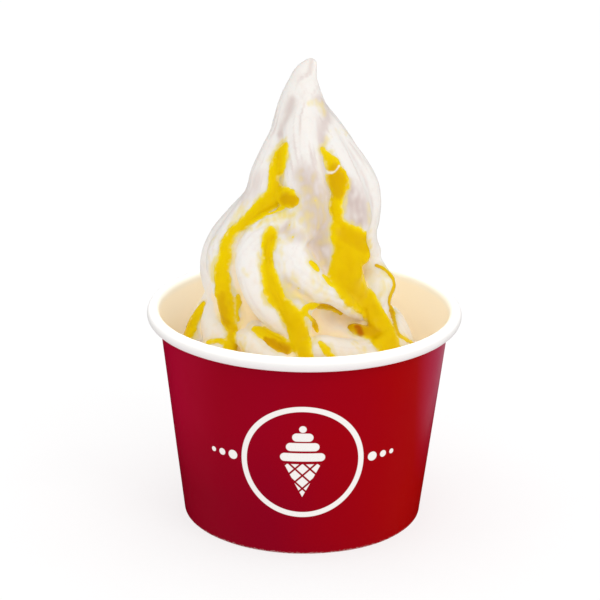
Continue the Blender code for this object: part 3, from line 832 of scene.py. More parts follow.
def drops_finish(graph):
    """The same sauce in drops so small that it has no pulp."""
    pale = (0.94, 0.80, 0.2, 1)
    golden = (0.92, 0.72, 0.06, 1)
    return {
        "Base Color": graph.coated(pale, (graph.grain(2 * MM), golden)),
        "Roughness": 0.3,
        "Specular IOR Level": 0.07,
    }


def along_paper(graph):
    """Millimetres round the cup from the front, and up its wall."""
    height = graph.axis("Z")
    turn = graph.maths("ARCTAN2", graph.axis("X"), graph.axis("Y") * -1)
    return turn * (height * TAPER + FOOT_RADIUS / MM), height * math.hypot(1, TAPER)


def printed_shapes(graph, along, up):
    """How far outside the printed shapes a place is, in millimetres: less than 0 inside."""
    up = up - BADGE_HEIGHT
    aside = abs(along)
    ring = abs(graph.distance(along, up) - BADGE_RADIUS) - BADGE_LINE / 2
    slope = CONE_HALF_WIDTH / (CONE_TOP - CONE_TIP)
    side = (aside - (up - CONE_TIP) * slope) * (1 / math.hypot(1, slope))
    cone = side.most(up - CONE_TOP)
    for lean in (1, -1):
        rule = graph.maths("PINGPONG", up + along * lean, CONE_RULE / 2 * math.sqrt(2))
        cone = cone.most(CONE_RULE_WIDTH / 2 - rule * math.sqrt(0.5))
    shapes = ring.least(cone)
    for height, half_width in SCOOPS:
        beyond = (aside - (half_width - SCOOP_HALF_HEIGHT)).most(0)
        shapes = shapes.least(graph.distance(beyond, up - height) - SCOOP_HALF_HEIGHT)
    shapes = shapes.least(graph.distance(along, up - PEAK_HEIGHT) - PEAK_RADIUS)
    for across, radius in SIDE_DOTS:
        shapes = shapes.least(graph.distance(aside - across, up) - radius)
    return shapes


def printed_finish(graph):
    """Coated board, printed red but for a white badge and the margin inside the foot. Painted light: the
    red darkens towards the bottom as shade, turns magenta at the left as a reflection and redder at the
    right, with a magenta sheen near the right edge.
    """
    red = (0.36, 0.0, 0.0, 1)
    crimson = (0.30, 0.0, 0.011, 1)
    low_shade_crimson = (0.255, 0.0, 0.011, 1)
    left_reflection_magenta = (0.36, 0.0, 0.022, 1)
    edge_sheen_magenta = (0.36, 0.0, 0.05, 1)
    white = (0.90, 0.87, 0.84, 1)
    across = graph.axis("X")
    along, up = along_paper(graph)
    ink = (0.5 - printed_shapes(graph, along, up) / INK_EDGE).clamped()
    fibres = graph.grain(0.5 * MM)
    cloud = (graph.grain(24 * MM, 2) - 0.5) * 0.5
    low = up.ramp(40, 14)
    worn = ((1 - up) * 1.2 + (fibres - 0.6) * 2.5).clamped() * 0.5
    colour = graph.coated(
        crimson,
        # Painted shade: darker towards the bottom.
        (low, low_shade_crimson),
        # Painted reflection: magenta at the left.
        (((across + 24) / -14 + cloud).clamped() * (1 - low), left_reflection_magenta),
        # Painted light: redder towards the right.
        ((0.25 + across * 0.022 + cloud).clamped(), red),
        # Painted sheen: magenta near the right edge.
        (across.ramp(33, 41) * (1 - low), edge_sheen_magenta),
        (ink, white),
        (worn, white),
    )
    return {
        "Base Color": colour,
        "Roughness": 0.34 + (graph.grain(6 * MM) - 0.5) * 0.12 + ink * 0.06,
        "Normal": graph.bump(fibres, strength=0.12, depth=0.05 * MM),
        "Specular IOR Level": 0.02,
    }


def lining_finish(graph):
    """Board with a thin waxy film, white on the lip. Inside the cup it is cream, which is painted warm
    light bounced from the ice cream, deepening further down as painted shade; the roll's inner side and the
    lip's underside have painted shade.
    """
    white = (0.91, 0.89, 0.87, 1)
    pale = (0.86, 0.835, 0.75, 1)
    cream = (0.95, 0.85, 0.67, 1)
    deep_cream_shade = (0.95, 0.83, 0.63, 1)
    lip_underside_shade = (0.84, 0.78, 0.78, 1)
    top = CUP_HEIGHT / MM
    height = graph.axis("Z")
    radius = graph.length(graph.stretched(graph.place(), (1, 1, 0))) / MM
    inwards = height * TAPER + FOOT_RADIUS / MM - radius    # from the wall's outer face
    inner_face = ((inwards + 0.3) * 4).clamped()
    inner_top = ((inwards + 1.1) * 1.5).clamped()
    # Painted warm light inside the cup, deeper further down as painted shade.
    inside = graph.coated(cream, (height.ramp(top - 8, top - 22), deep_cream_shade))
    # Painted shade under the lip.
    under = height.ramp(top - 1.9, top - 2.9) * (1 - inner_face)
    fibres = graph.grain(0.6 * MM)
    colour = graph.coated(
        white,
        # Painted shade where the roll turns in, then the painted warm light inside.
        (inner_top * height.ramp(top + 0.4, top - 0.8), pale),
        (inner_top * height.ramp(top - 0.8, top - 3.2), inside),
        ((fibres - 0.5).clamped() * 0.12, deep_cream_shade),
        (under * 0.7, lip_underside_shade),
    )
    return {
        "Base Color": colour,
        "Roughness": 0.42 + (fibres - 0.5) * 0.15,
        "Normal": graph.bump(fibres, strength=0.12, depth=0.05 * MM),
        "Specular IOR Level": 0.3,
    }


def base_finish(graph):
    """Plain board, with its fibres and a faint pressed ripple."""
    cream = (0.86, 0.78, 0.62, 1)
    pale = (0.90, 0.84, 0.72, 1)
    fibres = graph.grain(0.7 * MM, 4)
    ripple = graph.grain(9 * MM, 1)
    return {
        "Base Color": graph.coated(cream, (fibres, pale)),
        "Roughness": 0.6 + (fibres - 0.5) * 0.2,
        "Normal": graph.bump(ripple * 3 + fibres, strength=0.3, depth=0.08 * MM),
        "Specular IOR Level": 0.3,
    }


def floor_finish(graph):
    """A pale ground with a glow of its own, so that it stays as white as the photograph's."""
    grey = (0.34, 0.34, 0.34, 1)
    pale_grey = (0.36, 0.36, 0.36, 1)
    return {
        "Base Color": graph.coated(grey, (graph.grain(30 * MM), pale_grey)),
        "Roughness": 1.0,
        "Specular IOR Level": 0.0,
        "Emission Color": (1, 1, 1, 1),
        "Emission Strength": 0.68,
    }


# ==== Cup ==========================================================================


def wall_radius(height, inset=0.0):
    """Middle of the wall's paper at a height, less an inset."""
    return FOOT_RADIUS + TAPER * height - PAPER / 2 - inset


def arc(middle, radii, start, end, steps):
    """Points of an upright ellipse between two angles, in degrees."""
    points = []
    for step in range(steps + 1):
        turn = math.radians(start + (end - start) * step / steps)
        points.append((middle[0] + radii[0] * math.cos(turn), middle[1] + radii[1] * math.sin(turn)))
    return points


def wall_line():
    """Middle of the wall's paper: down the hem, round the fold, up the wall and the lip."""
    hem_inset = 2 * (PAPER + GAP)
    hem = [(wall_radius(height, hem_inset), height) for height in (HEM_TOP, HEM_TOP / 2)]
    fold_middle = (wall_radius(FOLD_HEIGHT, hem_inset / 2), FOLD_HEIGHT)
    fold = arc(fold_middle, (hem_inset / 2, FOLD_DEPTH), -180, 0, FOLD_STEPS)
    half_width = (LIP_RADIUS - MOUTH_RADIUS + PAPER) / 2
    lip_middle = (LIP_RADIUS - half_width, CUP_HEIGHT - LIP_HEIGHT / 2)
    lip_radii = (half_width - PAPER / 2, LIP_HEIGHT / 2 - PAPER / 2)
    lip = arc(lip_middle, lip_radii, 180, LIP_END_ANGLE, LIP_STEPS)
    low, high = FOLD_HEIGHT, lip_middle[1]
    heights = [low + (high - low) * step / WALL_STEPS for step in range(1, WALL_STEPS)]
    return hem + fold + [(wall_radius(height), height) for height in heights] + lip


def base_line():
    """Middle of the base's paper: from the axis to its edge, and down the skirt."""
    inset = PAPER + GAP
    edge = wall_radius(BASE_HEIGHT, inset)
    disc = [(edge * share, BASE_HEIGHT) for share in (0, 0.3, 0.6, 0.85)]
    bend = arc((edge - BASE_BEND, BASE_HEIGHT - BASE_BEND), (BASE_BEND, BASE_BEND), 90, 0, BEND_STEPS)
    return disc + bend + [(wall_radius(SKIRT_FOOT, inset), SKIRT_FOOT)]


def moved(line, distance):
    """A line of (radius, height) points moved to the left of its course."""
    points = []
    for number, (radius, height) in enumerate(line):
        before = line[max(number - 1, 0)]
        after = line[min(number + 1, len(line) - 1)]
        way = Vector((after[0] - before[0], after[1] - before[1])).normalized()
        points.append((radius - way.y * distance, height + way.x * distance))
    return points


def lap(turn, radius):
    """How far the outer end of the wall's sheet stands out over its inner end."""
    along = math.radians(math.degrees(turn) - SEAM_ANGLE) * radius
    if along < -SEAM_RAMP or along > SEAM_WIDTH + SEAM_EDGE:
        return 0
    if along > SEAM_WIDTH:
        return SEAM_RISE * (1 - (along - SEAM_WIDTH) / SEAM_EDGE)
    return SEAM_RISE * min(1, (along + SEAM_RAMP) / SEAM_RAMP)


def sheet_shift(turn, radius, height):
    """The lap, and the slight unevenness of rolled paper, at a place of the wall."""
    around = Vector((math.cos(turn), math.sin(turn), height / CUP_HEIGHT * UNEVEN_RISE))
    return lap(turn, radius) + sum(reach * noise.noise(around * waves) for reach, waves in UNEVEN_WAVES)


def cup_turns():
    """Angles round the cup, closer together at the edges of the lap."""
    turns = [2 * math.pi * step / ROUND_STEPS for step in range(ROUND_STEPS)]
    seam = math.radians(SEAM_ANGLE)
    for along in (-SEAM_RAMP, SEAM_WIDTH, SEAM_WIDTH + SEAM_EDGE):
        turns += [seam + (along + step * SEAM_STEP) / MOUTH_RADIUS for step in (-1, 0, 1)]
    return sorted(turns)


def turned(name, line, sides, material, shift=None, first=0, last=None):
    """Paper between two distances from part of a line of (radius, height) points, turned round Z."""
    loop = moved(line, sides[0])[first:last] + moved(line, sides[1])[first:last][::-1]
    turns = cup_turns()
    vertices = []
    for turn in turns:
        for radius, height in loop:
            out = radius + (shift(turn, radius, height) if shift else 0)
            vertices.append((out * math.cos(turn), out * math.sin(turn), height))
    count = len(loop)
    faces = []
    for step in range(len(turns)):
        here = step * count
        beyond = (step + 1) % len(turns) * count
        for number in range(count):
            following = (number + 1) % count
            faces.append((here + number, beyond + number, beyond + following, here + following))
    mesh = bpy.data.meshes.new(name)
    mesh.from_pydata(vertices, [], faces)
    with opened(mesh) as body:
        bmesh.ops.remove_doubles(body, verts=body.verts, dist=WELD)
        bmesh.ops.recalc_face_normals(body, faces=body.faces)
    mesh.materials.append(material)
    mesh.shade_smooth()
    mesh.set_sharp_from_angle(angle=math.radians(SHARP_ANGLE))
    return new_object(name, mesh)


def make_cup():
    """The printed outer ply, the lining, the rolled lip and the base."""
    wall = wall_line()
    cut = len(wall) - LIP_STEPS + 2
    outer, inner = (-PAPER / 2, 0), (0, PAPER / 2)
    waxed = new_material("waxed lining", lining_finish)
    board = new_material("printed board", printed_finish)
    plain = new_material("base board", base_finish)
    printed = turned("printed_sheet", wall, outer, board, sheet_shift)
    lining = turned("lining", wall, inner, waxed, sheet_shift, last=cut + 1)
    lip = turned("rolled_lip", wall, inner, waxed, sheet_shift, first=cut)
    base = turned("base_disc", base_line(), (-PAPER / 2, PAPER / 2), plain)
    return printed, lining, lip, base


# ==== Ice cream ====================================================================


def body_at(outline, height):
    """Lean and radius of an outline at a height, both in millimetres."""
    if height >= outline[0][0]:
        return outline[0][1:]
    for (top, lean_a, radius_a), (low, lean_b, radius_b) in zip(outline, outline[1:]):
        if height >= low:
            share = (top - height) / (top - low)
            return lean_a + (lean_b - lean_a) * share, radius_a + (radius_b - radius_a) * share
    return outline[-1][1:]


def slope_at(outline, height):
    """How far an outline tips back from the vertical at a height, as an angle."""
    step = 1
    narrows = body_at(outline, height - step)[1] - body_at(outline, height + step)[1]
    return math.atan(narrows / (2 * step))


def ridge_stations(outline, sunk, path):
    """(x, y, z, radius) of a ridge at each of its stations, its crest on the outline."""
    stations = []
    for number, (angle, height, girth) in enumerate(path):
        lean, body_radius = body_at(outline, height)
        slope = slope_at(outline, height)
        depth = sunk + girth + (HEAD_SUNK if number == 0 else 0)
        reach = max(body_radius - depth * math.cos(slope), 0)
        turn = math.radians(angle)
        place = (lean + reach * math.cos(turn), reach * math.sin(turn), height - depth * math.sin(slope))
        stations.append((*place, girth))
    return stations


def between(stations, steps):
    """Stations on a smooth curve through the given ones."""
    padded = numpy.array([stations[0], *stations, stations[-1]], dtype=float)
    for first in range(len(stations) - 1):
        a, b, c, d = padded[first:first + 4]
        for step in range(steps):
            t = step / steps
            bend = t * (2 * a - 5 * b + 4 * c - d + t * (3 * (b - c) + d - a))
            yield b + t * (c - a + bend) / 2
    yield padded[-1]


def half_ball(end, inner):
    """Stations that round off a tube beyond its end."""
    way = end[:3] - inner[:3]
    way = way / numpy.linalg.norm(way)
    for share in END_SHARES:
        yield numpy.append(end[:3] + way * end[3] * share, end[3] * math.sqrt(1 - share ** 2))


def ridge_paths():
    """The (x, y, z, radius) points of every ridge, in millimetres."""
    ridges = []
    for outline, table in ((SWIRL, SWIRL_RIDGES), (COIL, COIL_RIDGES)):
        ridges += [ridge_stations(outline, sunk, path) for sunk, path in table.values()]
    for number in range(BACK_RIDGES):
        first = BACK_RIDGE_FIRST + number * BACK_RIDGE_STEP
        path = [(first + turn, height, girth) for turn, height, girth in BACK_RIDGE]
        ridges.append(ridge_stations(COIL, 0, path))
    return [numpy.array(list(between(stations, PATH_STEPS))) for stations in ridges]


def tube_paths():
    """The same for every tube: the core as it is, and the ridges with rounded ends."""
    yield list(between([(lean, 0, height, radius) for height, lean, radius in CORE], PATH_STEPS))
    for path in ridge_paths():
        head = list(half_ball(path[0], path[1]))[::-1]
        yield head + list(path) + list(half_ball(path[-1], path[-2]))


def path_curves():
    """All tubes' middles, as one curve object with a radius at each point."""
    curve = bpy.data.curves.new("soft_serve_paths", "CURVE")
    curve.dimensions = "3D"
    for path in tube_paths():
        spline = curve.splines.new("POLY")
        spline.points.add(len(path) - 1)
        for point, (x, y, z, radius) in zip(spline.points, path):
            point.co = (x * MM, y * MM, z * MM, 1)
            point.radius = radius * MM
    return new_object("soft_serve_paths", curve)


def piping_recipe():
    """Tubes of changing girth along every path, and the ice cream that fills the cup."""
    graph, inputs, identifiers = new_recipe("Piped soft serve", {
        "Paths": "Object", "Sides": "Int", "Fill Floor": "Float", "Fill Top": "Float",
        "Floor Radius": "Float", "Top Radius": "Float", "Fill Sides": "Int", "Material": "Material",
    })
    paths = graph.node("GeometryNodeObjectInfo", None, {"Object": inputs["Paths"]}, "Geometry")
    ring = {"Resolution": inputs["Sides"], "Radius": 1.0}
    tubes = graph.node("GeometryNodeCurveToMesh", None, {
        "Curve": paths,
        "Profile Curve": graph.node("GeometryNodeCurvePrimitiveCircle", None, ring),
        "Scale": graph.node("GeometryNodeInputRadius"),
        "Fill Caps": True,
    })
    cone = graph.node("GeometryNodeMeshCone", None, {
        "Vertices": inputs["Fill Sides"],
        "Radius Top": inputs["Top Radius"],
        "Radius Bottom": inputs["Floor Radius"],
        "Depth": inputs["Fill Top"] - inputs["Fill Floor"],
    })
    lift = graph.node("ShaderNodeCombineXYZ", None, {"Z": inputs["Fill Floor"]})
    fill = graph.node("GeometryNodeTransform", None, {"Geometry": cone, "Translation": lift})
    both = graph.node("GeometryNodeJoinGeometry", None, {0: [tubes, fill]})
    end_recipe(graph, both, inputs["Material"])
    return graph, identifiers


def thin_out_hidden(body, floor):
    """Use fewer faces where the ice cream is hidden in the cup, down to its floor."""
    hidden = body.vertex_groups.new(name="hidden")
    places, _ = arrays_of(body.data)
    low = numpy.nonzero(places[:, 2] < HIDDEN_TOP)[0]
    hidden.add(low.tolist(), 1.0, "REPLACE")
    decimate = body.modifiers.new("Thin out", "DECIMATE")
    decimate.ratio = HIDDEN_SHARE
    decimate.vertex_group = hidden.name
    settle(body, body.data.materials[0])
    body.vertex_groups.clear()
    places, _ = arrays_of(body.data)
    places[:, 2] = numpy.maximum(places[:, 2], floor)
    move_to(body.data, places)


def groove_depth(mesh, places, normals, rounds):
    """How far each vertex lies under the smoothed surface around it, in metres."""
    edges = numpy.empty(len(mesh.edges) * 2, dtype=int)
    mesh.edges.foreach_get("vertices", edges)
    first, second = edges.reshape(-1, 2).T
    links = numpy.bincount(edges, minlength=len(places))[:, None]
    smooth = places.copy()
    for _ in range(rounds):
        total = numpy.zeros_like(smooth)
        for axis in range(3):
            total[:, axis] = (
                numpy.bincount(first, smooth[second, axis], len(places))
                + numpy.bincount(second, smooth[first, axis], len(places))
            )
        smooth = total / links
    return ((smooth - places) * normals).sum(axis=1)


def on_ridges(places):
    """Of the ridge next to each place: millimetres round it and along it, its number, and
    how much nearer it is than the next ridge."""
    paths = ridge_paths()
    centres = numpy.vstack([path[:, :3] for path in paths])
    girths = numpy.concatenate([path[:, 3] for path in paths])
    numbers = numpy.repeat(range(len(paths)), [len(path) for path in paths])
    ways = numpy.vstack([numpy.gradient(path[:, :3], axis=0) for path in paths])
    steps = numpy.linalg.norm(ways, axis=1)
    ways = ways / steps[:, None]
    along = numpy.cumsum(steps)
    tree = KDTree(len(centres))
    for number, centre in enumerate(centres):
        tree.insert(centre, number)
    tree.balance()
    nearest, margin = [], []
    for place in (places / MM).tolist():
        found_points = tree.find_n(place, RIDGE_NEIGHBOURS)
        _, first, distance = found_points[0]
        others = [gap for _, number, gap in found_points if numbers[number] != numbers[first]]
        nearest.append(first)
        margin.append(others[0] - distance if others else STROKE_FADE)
    offset = places / MM - centres[nearest]
    way = ways[nearest]
    across = numpy.cross(way, centres[nearest] * (1, 1, 0))
    across = across / numpy.linalg.norm(across, axis=1)[:, None]
    outwards = numpy.cross(across, way)
    turn = numpy.arctan2((offset * across).sum(axis=1), (offset * outwards).sum(axis=1))
    along_ridge = along[nearest] + (offset * way).sum(axis=1)
    return turn * girths[nearest], along_ridge, numbers[nearest], numpy.array(margin)


def add_relief(mesh):
    """Soft lumps all over, and the fine lines that the nozzle drew along each ridge."""
    places, normals = arrays_of(mesh)
    shown = places[:, 2] > HIDDEN_TOP
    near_tip = eased((places[:, 2] / MM - TIP_FROM) / TIP_OVER)
    round_ridge, along_ridge, number, margin = on_ridges(places)
    drawn = numpy.column_stack((
        round_ridge / STROKE_WIDTH, along_ridge / STROKE_LENGTH, number * STROKE_SHIFT,
    ))
    strokes = lumps(drawn, 1) * eased(margin / STROKE_FADE)
    stroke_rise = STROKE_RISE + (TIP_STROKE_RISE - STROKE_RISE) * near_tip
    rise = layered_lumps(places, RELIEF) + stroke_rise * MM * strokes
    move_to(mesh, places + normals * (rise * shown)[:, None])
    places, normals = arrays_of(mesh)
    # Painted shade: each place gets the grey groove colour by how deep it lies in a groove.
    deep = (GROOVE_SHADE_DEEP + (TIP_GROOVE_SHADE_DEEP - GROOVE_SHADE_DEEP) * near_tip) * MM
    shade = groove_depth(mesh, places, normals, GROOVE_ROUNDS) / deep
    set_attribute(mesh, "hollow", eased(shade) * GROOVE_SHADE_SHARE)
    streak = STREAK_SHARE + (TIP_STREAK_SHARE - STREAK_SHARE) * near_tip
    set_attribute(mesh, "streak", eased((strokes - STREAK_FROM) / STREAK_OVER) * streak)


def soft_serve(material):
    """The bare ice cream: tubes fused to one skin, with fine relief."""
    graph, identifiers = piping_recipe()
    paths = path_curves()
    body = new_object("soft_serve", bpy.data.meshes.new("soft_serve"))
    floor = BASE_HEIGHT + PAPER / 2 + FILL_GAP
    inset = PAPER / 2 + FILL_GAP
    follow(body, graph, identifiers, {
        "Paths": paths,
        "Sides": TUBE_SIDES,
        "Fill Floor": floor,
        "Fill Top": FILL_TOP,
        "Floor Radius": wall_radius(floor, inset),
        "Top Radius": wall_radius(FILL_TOP, inset),
        "Fill Sides": ROUND_STEPS,
        "Material": material,
    })
    fuse(body, ICE_VOXEL, ICE_ROUNDS, material)
    bpy.data.objects.remove(paths)
    thin_out_hidden(body, floor)
    drop_specks(body.data)
    add_relief(body.data)
    return body


# ==== Sauce ========================================================================


def line_of_sight():
    """The eye, the plane's middle, and the plane's directions across and up."""
    tilt = math.radians(EYE_ELEVATION)
    middle = Vector((0, 0, EYE_TARGET))
    eye = middle + EYE_DISTANCE * Vector((0, -math.cos(tilt), math.sin(tilt)))
    return eye, middle, Vector((1, 0, 0)), Vector((0, math.sin(tilt), math.cos(tilt)))


def met_points(tree, table, ray):
    """Points of streams where they meet a skin, each with half a width and a share."""
    for weight, stations in table.values():
        for first, second, half_width in between(stations, STREAM_STEPS):
            start, way = ray(float(first), float(second))
            hit = tree.ray_cast(start, way)[0]
            if hit:
                yield (*hit, half_width * MM, weight)


def ray_from_eye(across, up):
    eye, middle, across_way, up_way = line_of_sight()
    aim = middle + (across * across_way + up * up_way) * MM
    return eye, (aim - eye).normalized()


def ray_from_outside(angle, height):
    turn = math.radians(angle)
    outwards = Vector((math.cos(turn), math.sin(turn), 0))
    axis = Vector((body_at(SWIRL, height)[0], 0, height)) * MM
    return axis + SAUCE_OUTSIDE * outwards, -outwards


def as_seen(places):
    """Places with their depth shrunk, so that a stream is as wide as it looks."""
    tilt = math.radians(EYE_ELEVATION)
    sight = numpy.array((0, math.cos(tilt), -math.sin(tilt)))
    return places - numpy.outer(places @ sight, sight) * (1 - SIGHT_SHARE)


def beyond_edge(places, points):
    """How far each place lies beyond the nearest stream's edge, with its half width and share."""
    beyond = numpy.full(len(places), numpy.inf)
    nearest = numpy.zeros(len(places), dtype=int)
    for number, point in enumerate(points):
        past = numpy.linalg.norm(places - point[:3], axis=1) - point[3]
        closer = past < beyond
        beyond[closer] = past[closer]
        nearest[closer] = number
    return beyond, points[nearest, 3], points[nearest, 4]


def beyond_front(places, tree, table):
    """The same for streams that are laid out as seen from the front."""
    points = numpy.array(list(met_points(tree, table, ray_from_eye)))
    points[:, :3] = as_seen(points[:, :3])
    return beyond_edge(as_seen(places), points)


def beyond_sauce(places, tree):
    """The same for all streams of sauce, where each edge strays in and out."""
    back_points = numpy.array(list(met_points(tree, BACK_STREAMS, ray_from_outside)))
    front = numpy.array(beyond_front(places, tree, SAUCE_STREAMS))
    back = numpy.array(beyond_edge(places, back_points))
    beyond, half_width, weight = numpy.where(front[0] < back[0], front, back)
    strays = SAUCE_RAGGED * layered_lumps(places, RAGGED_EDGE)
    return beyond + strays * numpy.minimum(half_width / MM, 1), half_width, weight


def patch(places, tree, table, ragged, softness):
    """Strength of soft patches at each place, their edges moved by a ragged distance."""
    beyond, half_width, weight = beyond_front(places, tree, table)
    return eased(0.5 + (ragged - beyond) / (softness * half_width)) * weight


def closed_shell(under, over, faces):
    """A mesh between two layers of the same faces, closed along their rim."""
    count = len(under)
    edges = {}
    for face in faces:
        for start, end in zip(face, face[1:] + face[:1]):
            edges[start, end] = True
    rim = [edge for edge in edges if edge[::-1] not in edges]
    sides = [(end, start, start + count, end + count) for start, end in rim]
    bottom = [tuple(reversed(face)) for face in faces]
    top = [tuple(corner + count for corner in face) for face in faces]
    mesh = bpy.data.meshes.new("shell")
    mesh.from_pydata(numpy.vstack((under, over)).tolist(), [], bottom + top + sides)
    return mesh


def fruit_sauce(body, tree, material):
    """The streams: a rounded layer on the skin, its edges tucked just under it."""
    mesh = body.data
    places, normals = arrays_of(mesh)
    beyond, half_width, weight = beyond_sauce(places, tree)
    full = numpy.minimum(SAUCE_THIN + SAUCE_SWELL * half_width, SAUCE_DEEPEST) * weight
    full = full * (1 + layered_lumps(places, SAUCE_LUMPS))
    full = full + numpy.clip(groove_depth(mesh, places, normals, POOL_ROUNDS), 0, SAUCE_POOL)
    inwards = numpy.clip(-beyond / half_width, 0, 1)
    dome = numpy.sqrt(inwards * (2 - inwards))
    rise = numpy.where(beyond < 0, full * dome, -SAUCE_DIP * beyond / SAUCE_MARGIN)

    taken = beyond < SAUCE_MARGIN
    faces = [tuple(polygon.vertices) for polygon in mesh.polygons]
    faces = [face for face in faces if all(taken[corner] for corner in face)]
    kept = sorted({corner for face in faces for corner in face})
    number_of = {corner: number for number, corner in enumerate(kept)}
    faces = [tuple(number_of[corner] for corner in face) for face in faces]
    under = places[kept] - normals[kept] * SAUCE_ROOT
    over = places[kept] + normals[kept] * rise[kept][:, None]
    sauce = new_object("fruit_sauce", closed_shell(under, over, faces))
    fuse(sauce, SAUCE_VOXEL, SAUCE_ROUNDS, material)
    drop_specks(sauce.data)
    shade_sauce(sauce.data, tree)
    return sauce


def shade_sauce(mesh, tree):
    """Note how deep the sauce is at each vertex, where it is pale, amber or brown, and where a highlight is
    painted in cream.
    """
    places, _ = arrays_of(mesh)
    depth = []
    for place in places.tolist():
        nearest, normal, _, _ = tree.find_nearest(place)
        depth.append((Vector(place) - nearest).dot(normal))
    set_attribute(mesh, "depth", numpy.array(depth) / SAUCE_DEEPEST)
    beyond, half_width, _ = beyond_sauce(places, tree)
    reach = (PALE_REACH + layered_lumps(places, PALE_EDGE)) * MM
    set_attribute(mesh, "thin", eased((beyond + reach) / PALE_FADE) * eased(half_width / PALE_FULL_WIDTH))
    ragged = layered_lumps(places, SHADE_RAGGED)
    set_attribute(mesh, "amber", patch(places, tree, AMBER, ragged, SHADE_SOFTNESS))
    set_attribute(mesh, "brown", patch(places, tree, BROWN, ragged, SHADE_SOFTNESS))
    # The painted highlight, in cream.
    set_attribute(mesh, "cream", patch(places, tree, GLINT_THREAD, 0, GLINT_SOFTNESS))


def stain(mesh, tree):
    """Thin films of sauce on the bare ice cream, beside the streams and in patches."""
    places, _ = arrays_of(mesh)
    fine = lumps(places, *FINE_LUMPS)
    broad = lumps(places, *BROAD_LUMPS)

    def broken(full, by_fine, by_broad):
        return eased(full + by_fine * fine + by_broad * broad)

    beyond, _, weight = beyond_sauce(places, tree)
    reach = STAIN_REACH + STAIN_BROAD * broad + STAIN_FINE * fine
    beside = eased((reach - beyond) / STAIN_FADE) * weight * STAIN_STRENGTH
    within = patch(places, tree, FILM, 0, FILM_SOFTNESS) * broken(*FILM_BREAKS)
    set_attribute(mesh, "film", numpy.clip(numpy.maximum(beside, within), 0, 1))
    # Melted grey, partly painted shade on sides out of the light, with the streaks along the strokes.
    melt = patch(places, tree, MELT_AND_SHADE, MELT_AND_SHADE_RAGGED * broad, MELT_AND_SHADE_SOFTNESS) * broken(*MELT_AND_SHADE_BREAKS)
    set_attribute(mesh, "melt", numpy.maximum(melt, values_of(mesh, "streak")))


def drops_recipe():
    """Small flat drops, scattered over a surface where its film is strong."""
    graph, inputs, identifiers = new_recipe("Scattered drops", {
        "Surface": "Object", "Density": "Float", "Smallest": "Float", "Largest": "Float",
        "Flatness": "Float", "Seed": "Int", "Material": "Material",
    })
    seed = inputs["Seed"]
    surface = graph.node("GeometryNodeObjectInfo", None, {"Object": inputs["Surface"]}, "Geometry")
    number = {"data_type": "FLOAT"}
    film = graph.node("GeometryNodeInputNamedAttribute", number, {"Name": "film"}, "Attribute")
    sockets = {"Mesh": surface, "Density": inputs["Density"] * film * film, "Seed": seed}
    points = graph.node("GeometryNodeDistributePointsOnFaces", None, sockets)
    facing = Wire(graph, points.socket.node.outputs["Rotation"])
    ball = graph.node("GeometryNodeMeshIcoSphere", None, {"Radius": 1.0, "Subdivisions": 2})
    sockets = {"Min": inputs["Smallest"], "Max": inputs["Largest"], "Seed": seed}
    size = graph.node("FunctionNodeRandomValue", number, sockets)
    sockets = {"X": size, "Y": size, "Z": size * inputs["Flatness"]}
    scale = graph.node("ShaderNodeCombineXYZ", None, sockets)
    sockets = {"Points": points, "Instance": ball, "Rotation": facing, "Scale": scale}
    end_recipe(graph, graph.node("GeometryNodeInstanceOnPoints", None, sockets), inputs["Material"])
    return graph, identifiers


def sauce_drops(body, material):
    graph, identifiers = drops_recipe()
    drops = new_object("sauce_drops", bpy.data.meshes.new("sauce_drops"))
    follow(drops, graph, identifiers, {
        "Surface": body,
        "Density": DROP_DENSITY,
        "Smallest": DROP_SMALLEST,
        "Largest": DROP_LARGEST,
        "Flatness": DROP_FLATNESS,
        "Seed": DROP_SEED,
        "Material": material,
    })
    settle(drops, material)
    return drops


# ==== Stage, lights and camera =====================================================


def make_floor():
    mesh = bpy.data.meshes.new("floor")
    with opened(mesh) as body:
        bmesh.ops.create_circle(body, cap_ends=True, segments=96, radius=FLOOR_RADIUS)
        bmesh.ops.translate(body, verts=body.verts, vec=(0, 0, -FLOOR_DROP))
    mesh.materials.append(new_material("pale floor", floor_finish))
    floor = new_object("floor", mesh)
    floor.visible_glossy = False
    floor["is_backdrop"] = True


def make_world():
    """Even white light from all round, which shiny surfaces do not mirror."""
    world = bpy.data.worlds.new("studio")
    bpy.context.scene.world = world
    world.use_nodes = True
    world.cycles_visibility.glossy = False
    graph = Graph(world.node_tree)
    sky = graph.node("ShaderNodeBackground", None, {"Color": (1, 1, 1, 1), "Strength": SKY_STRENGTH})
    graph.node("ShaderNodeOutputWorld", None, {"Surface": sky})


def square_light(name, place, side, power, target):
    light = bpy.data.lights.new(name, "AREA")
    light.shape = "SQUARE"
    light.size = side
    light.energy = power
    obj = new_object(name, light)
    obj.location = place
    obj.rotation_mode = "QUATERNION"
    obj.rotation_quaternion = (Vector(target) - Vector(place)).to_track_quat("-Z", "Y")
    return obj


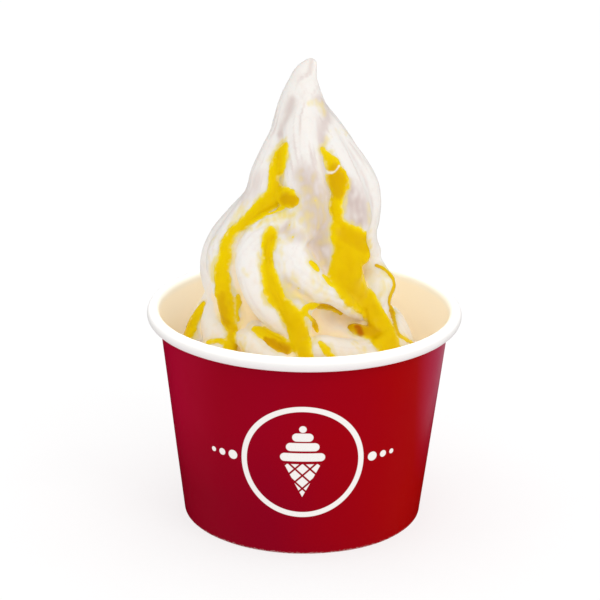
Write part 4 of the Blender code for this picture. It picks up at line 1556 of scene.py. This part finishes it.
def light_alone(lamp, *pieces):
    """Let a lamp that the camera does not see light these pieces and nothing else."""
    lamp.visible_camera = False
    alone = bpy.data.collections.new(lamp.name + "_lights")
    for piece in pieces:
        alone.objects.link(piece)
    lamp.light_linking.receiver_collection = alone
    lamp.light_linking.blocker_collection = alone


def light_cup(printed, lining, lip):
    """A lamp over the lining, which glows as thin board does, and a sheen at the cup's right edge."""
    over = square_light("lining_lamp", *LINING_LAMP)
    over.visible_glossy = False
    light_alone(over, lining, lip)
    light_alone(square_light("edge_panel", *EDGE_PANEL), printed)


def make_camera():
    eye, _, across_way, up_way = line_of_sight()
    back_way = across_way.cross(up_way)
    facing = Matrix((across_way, up_way, back_way)).transposed().to_4x4()
    camera = bpy.data.cameras.new("camera")
    camera.lens = LENS_PIXELS / PICTURE_SIZE * camera.sensor_width
    camera.clip_start = 0.01
    camera.clip_end = 20
    camera.shift_x = -(VIEW_MIDDLE[0] - PICTURE_SIZE / 2) / PICTURE_SIZE
    camera.shift_y = (VIEW_MIDDLE[1] - PICTURE_SIZE / 2) / PICTURE_SIZE
    obj = new_object("camera", camera)
    obj.matrix_world = Matrix.Translation(eye) @ facing @ Matrix.Rotation(math.radians(VIEW_ROLL), 4, "Z")
    bpy.context.scene.camera = obj


# ==== The whole ====================================================================


def main():
    make_camera()
    make_world()
    make_floor()
    square_light("key", *KEY_LAMP)
    bpy.context.scene.view_settings.view_transform = "Standard"

    printed, lining, lip, base = make_cup()
    light_cup(printed, lining, lip)
    sauce_material = new_material("fruit sauce", sauce_finish)
    ice = soft_serve(new_material("soft-serve ice cream", ice_cream_finish))
    tree = tree_of(ice.data)
    sauce = fruit_sauce(ice, tree, sauce_material)
    stain(ice.data, tree)
    drops = sauce_drops(ice, new_material("drops of sauce", drops_finish))

    for piece, slot, node in (
        (printed, "printed_paper", "cup_wall"),
        (lining, "plain_paper", "cup_wall"),
        (lip, "plain_paper", "cup_wall"),
        (base, "plain_paper", "cup_base"),
        (ice, "ice_cream", "ice_cream"),
        (sauce, "sauce", "ice_cream"),
        (drops, "sauce", "ice_cream"),
    ):
        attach(piece, "root")
        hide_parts(node)

    sizes = {"solid": SOLID_BOX, "visual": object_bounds()}
    plain = {name: [list(corner) for corner in box] for name, box in sizes.items()}


main()
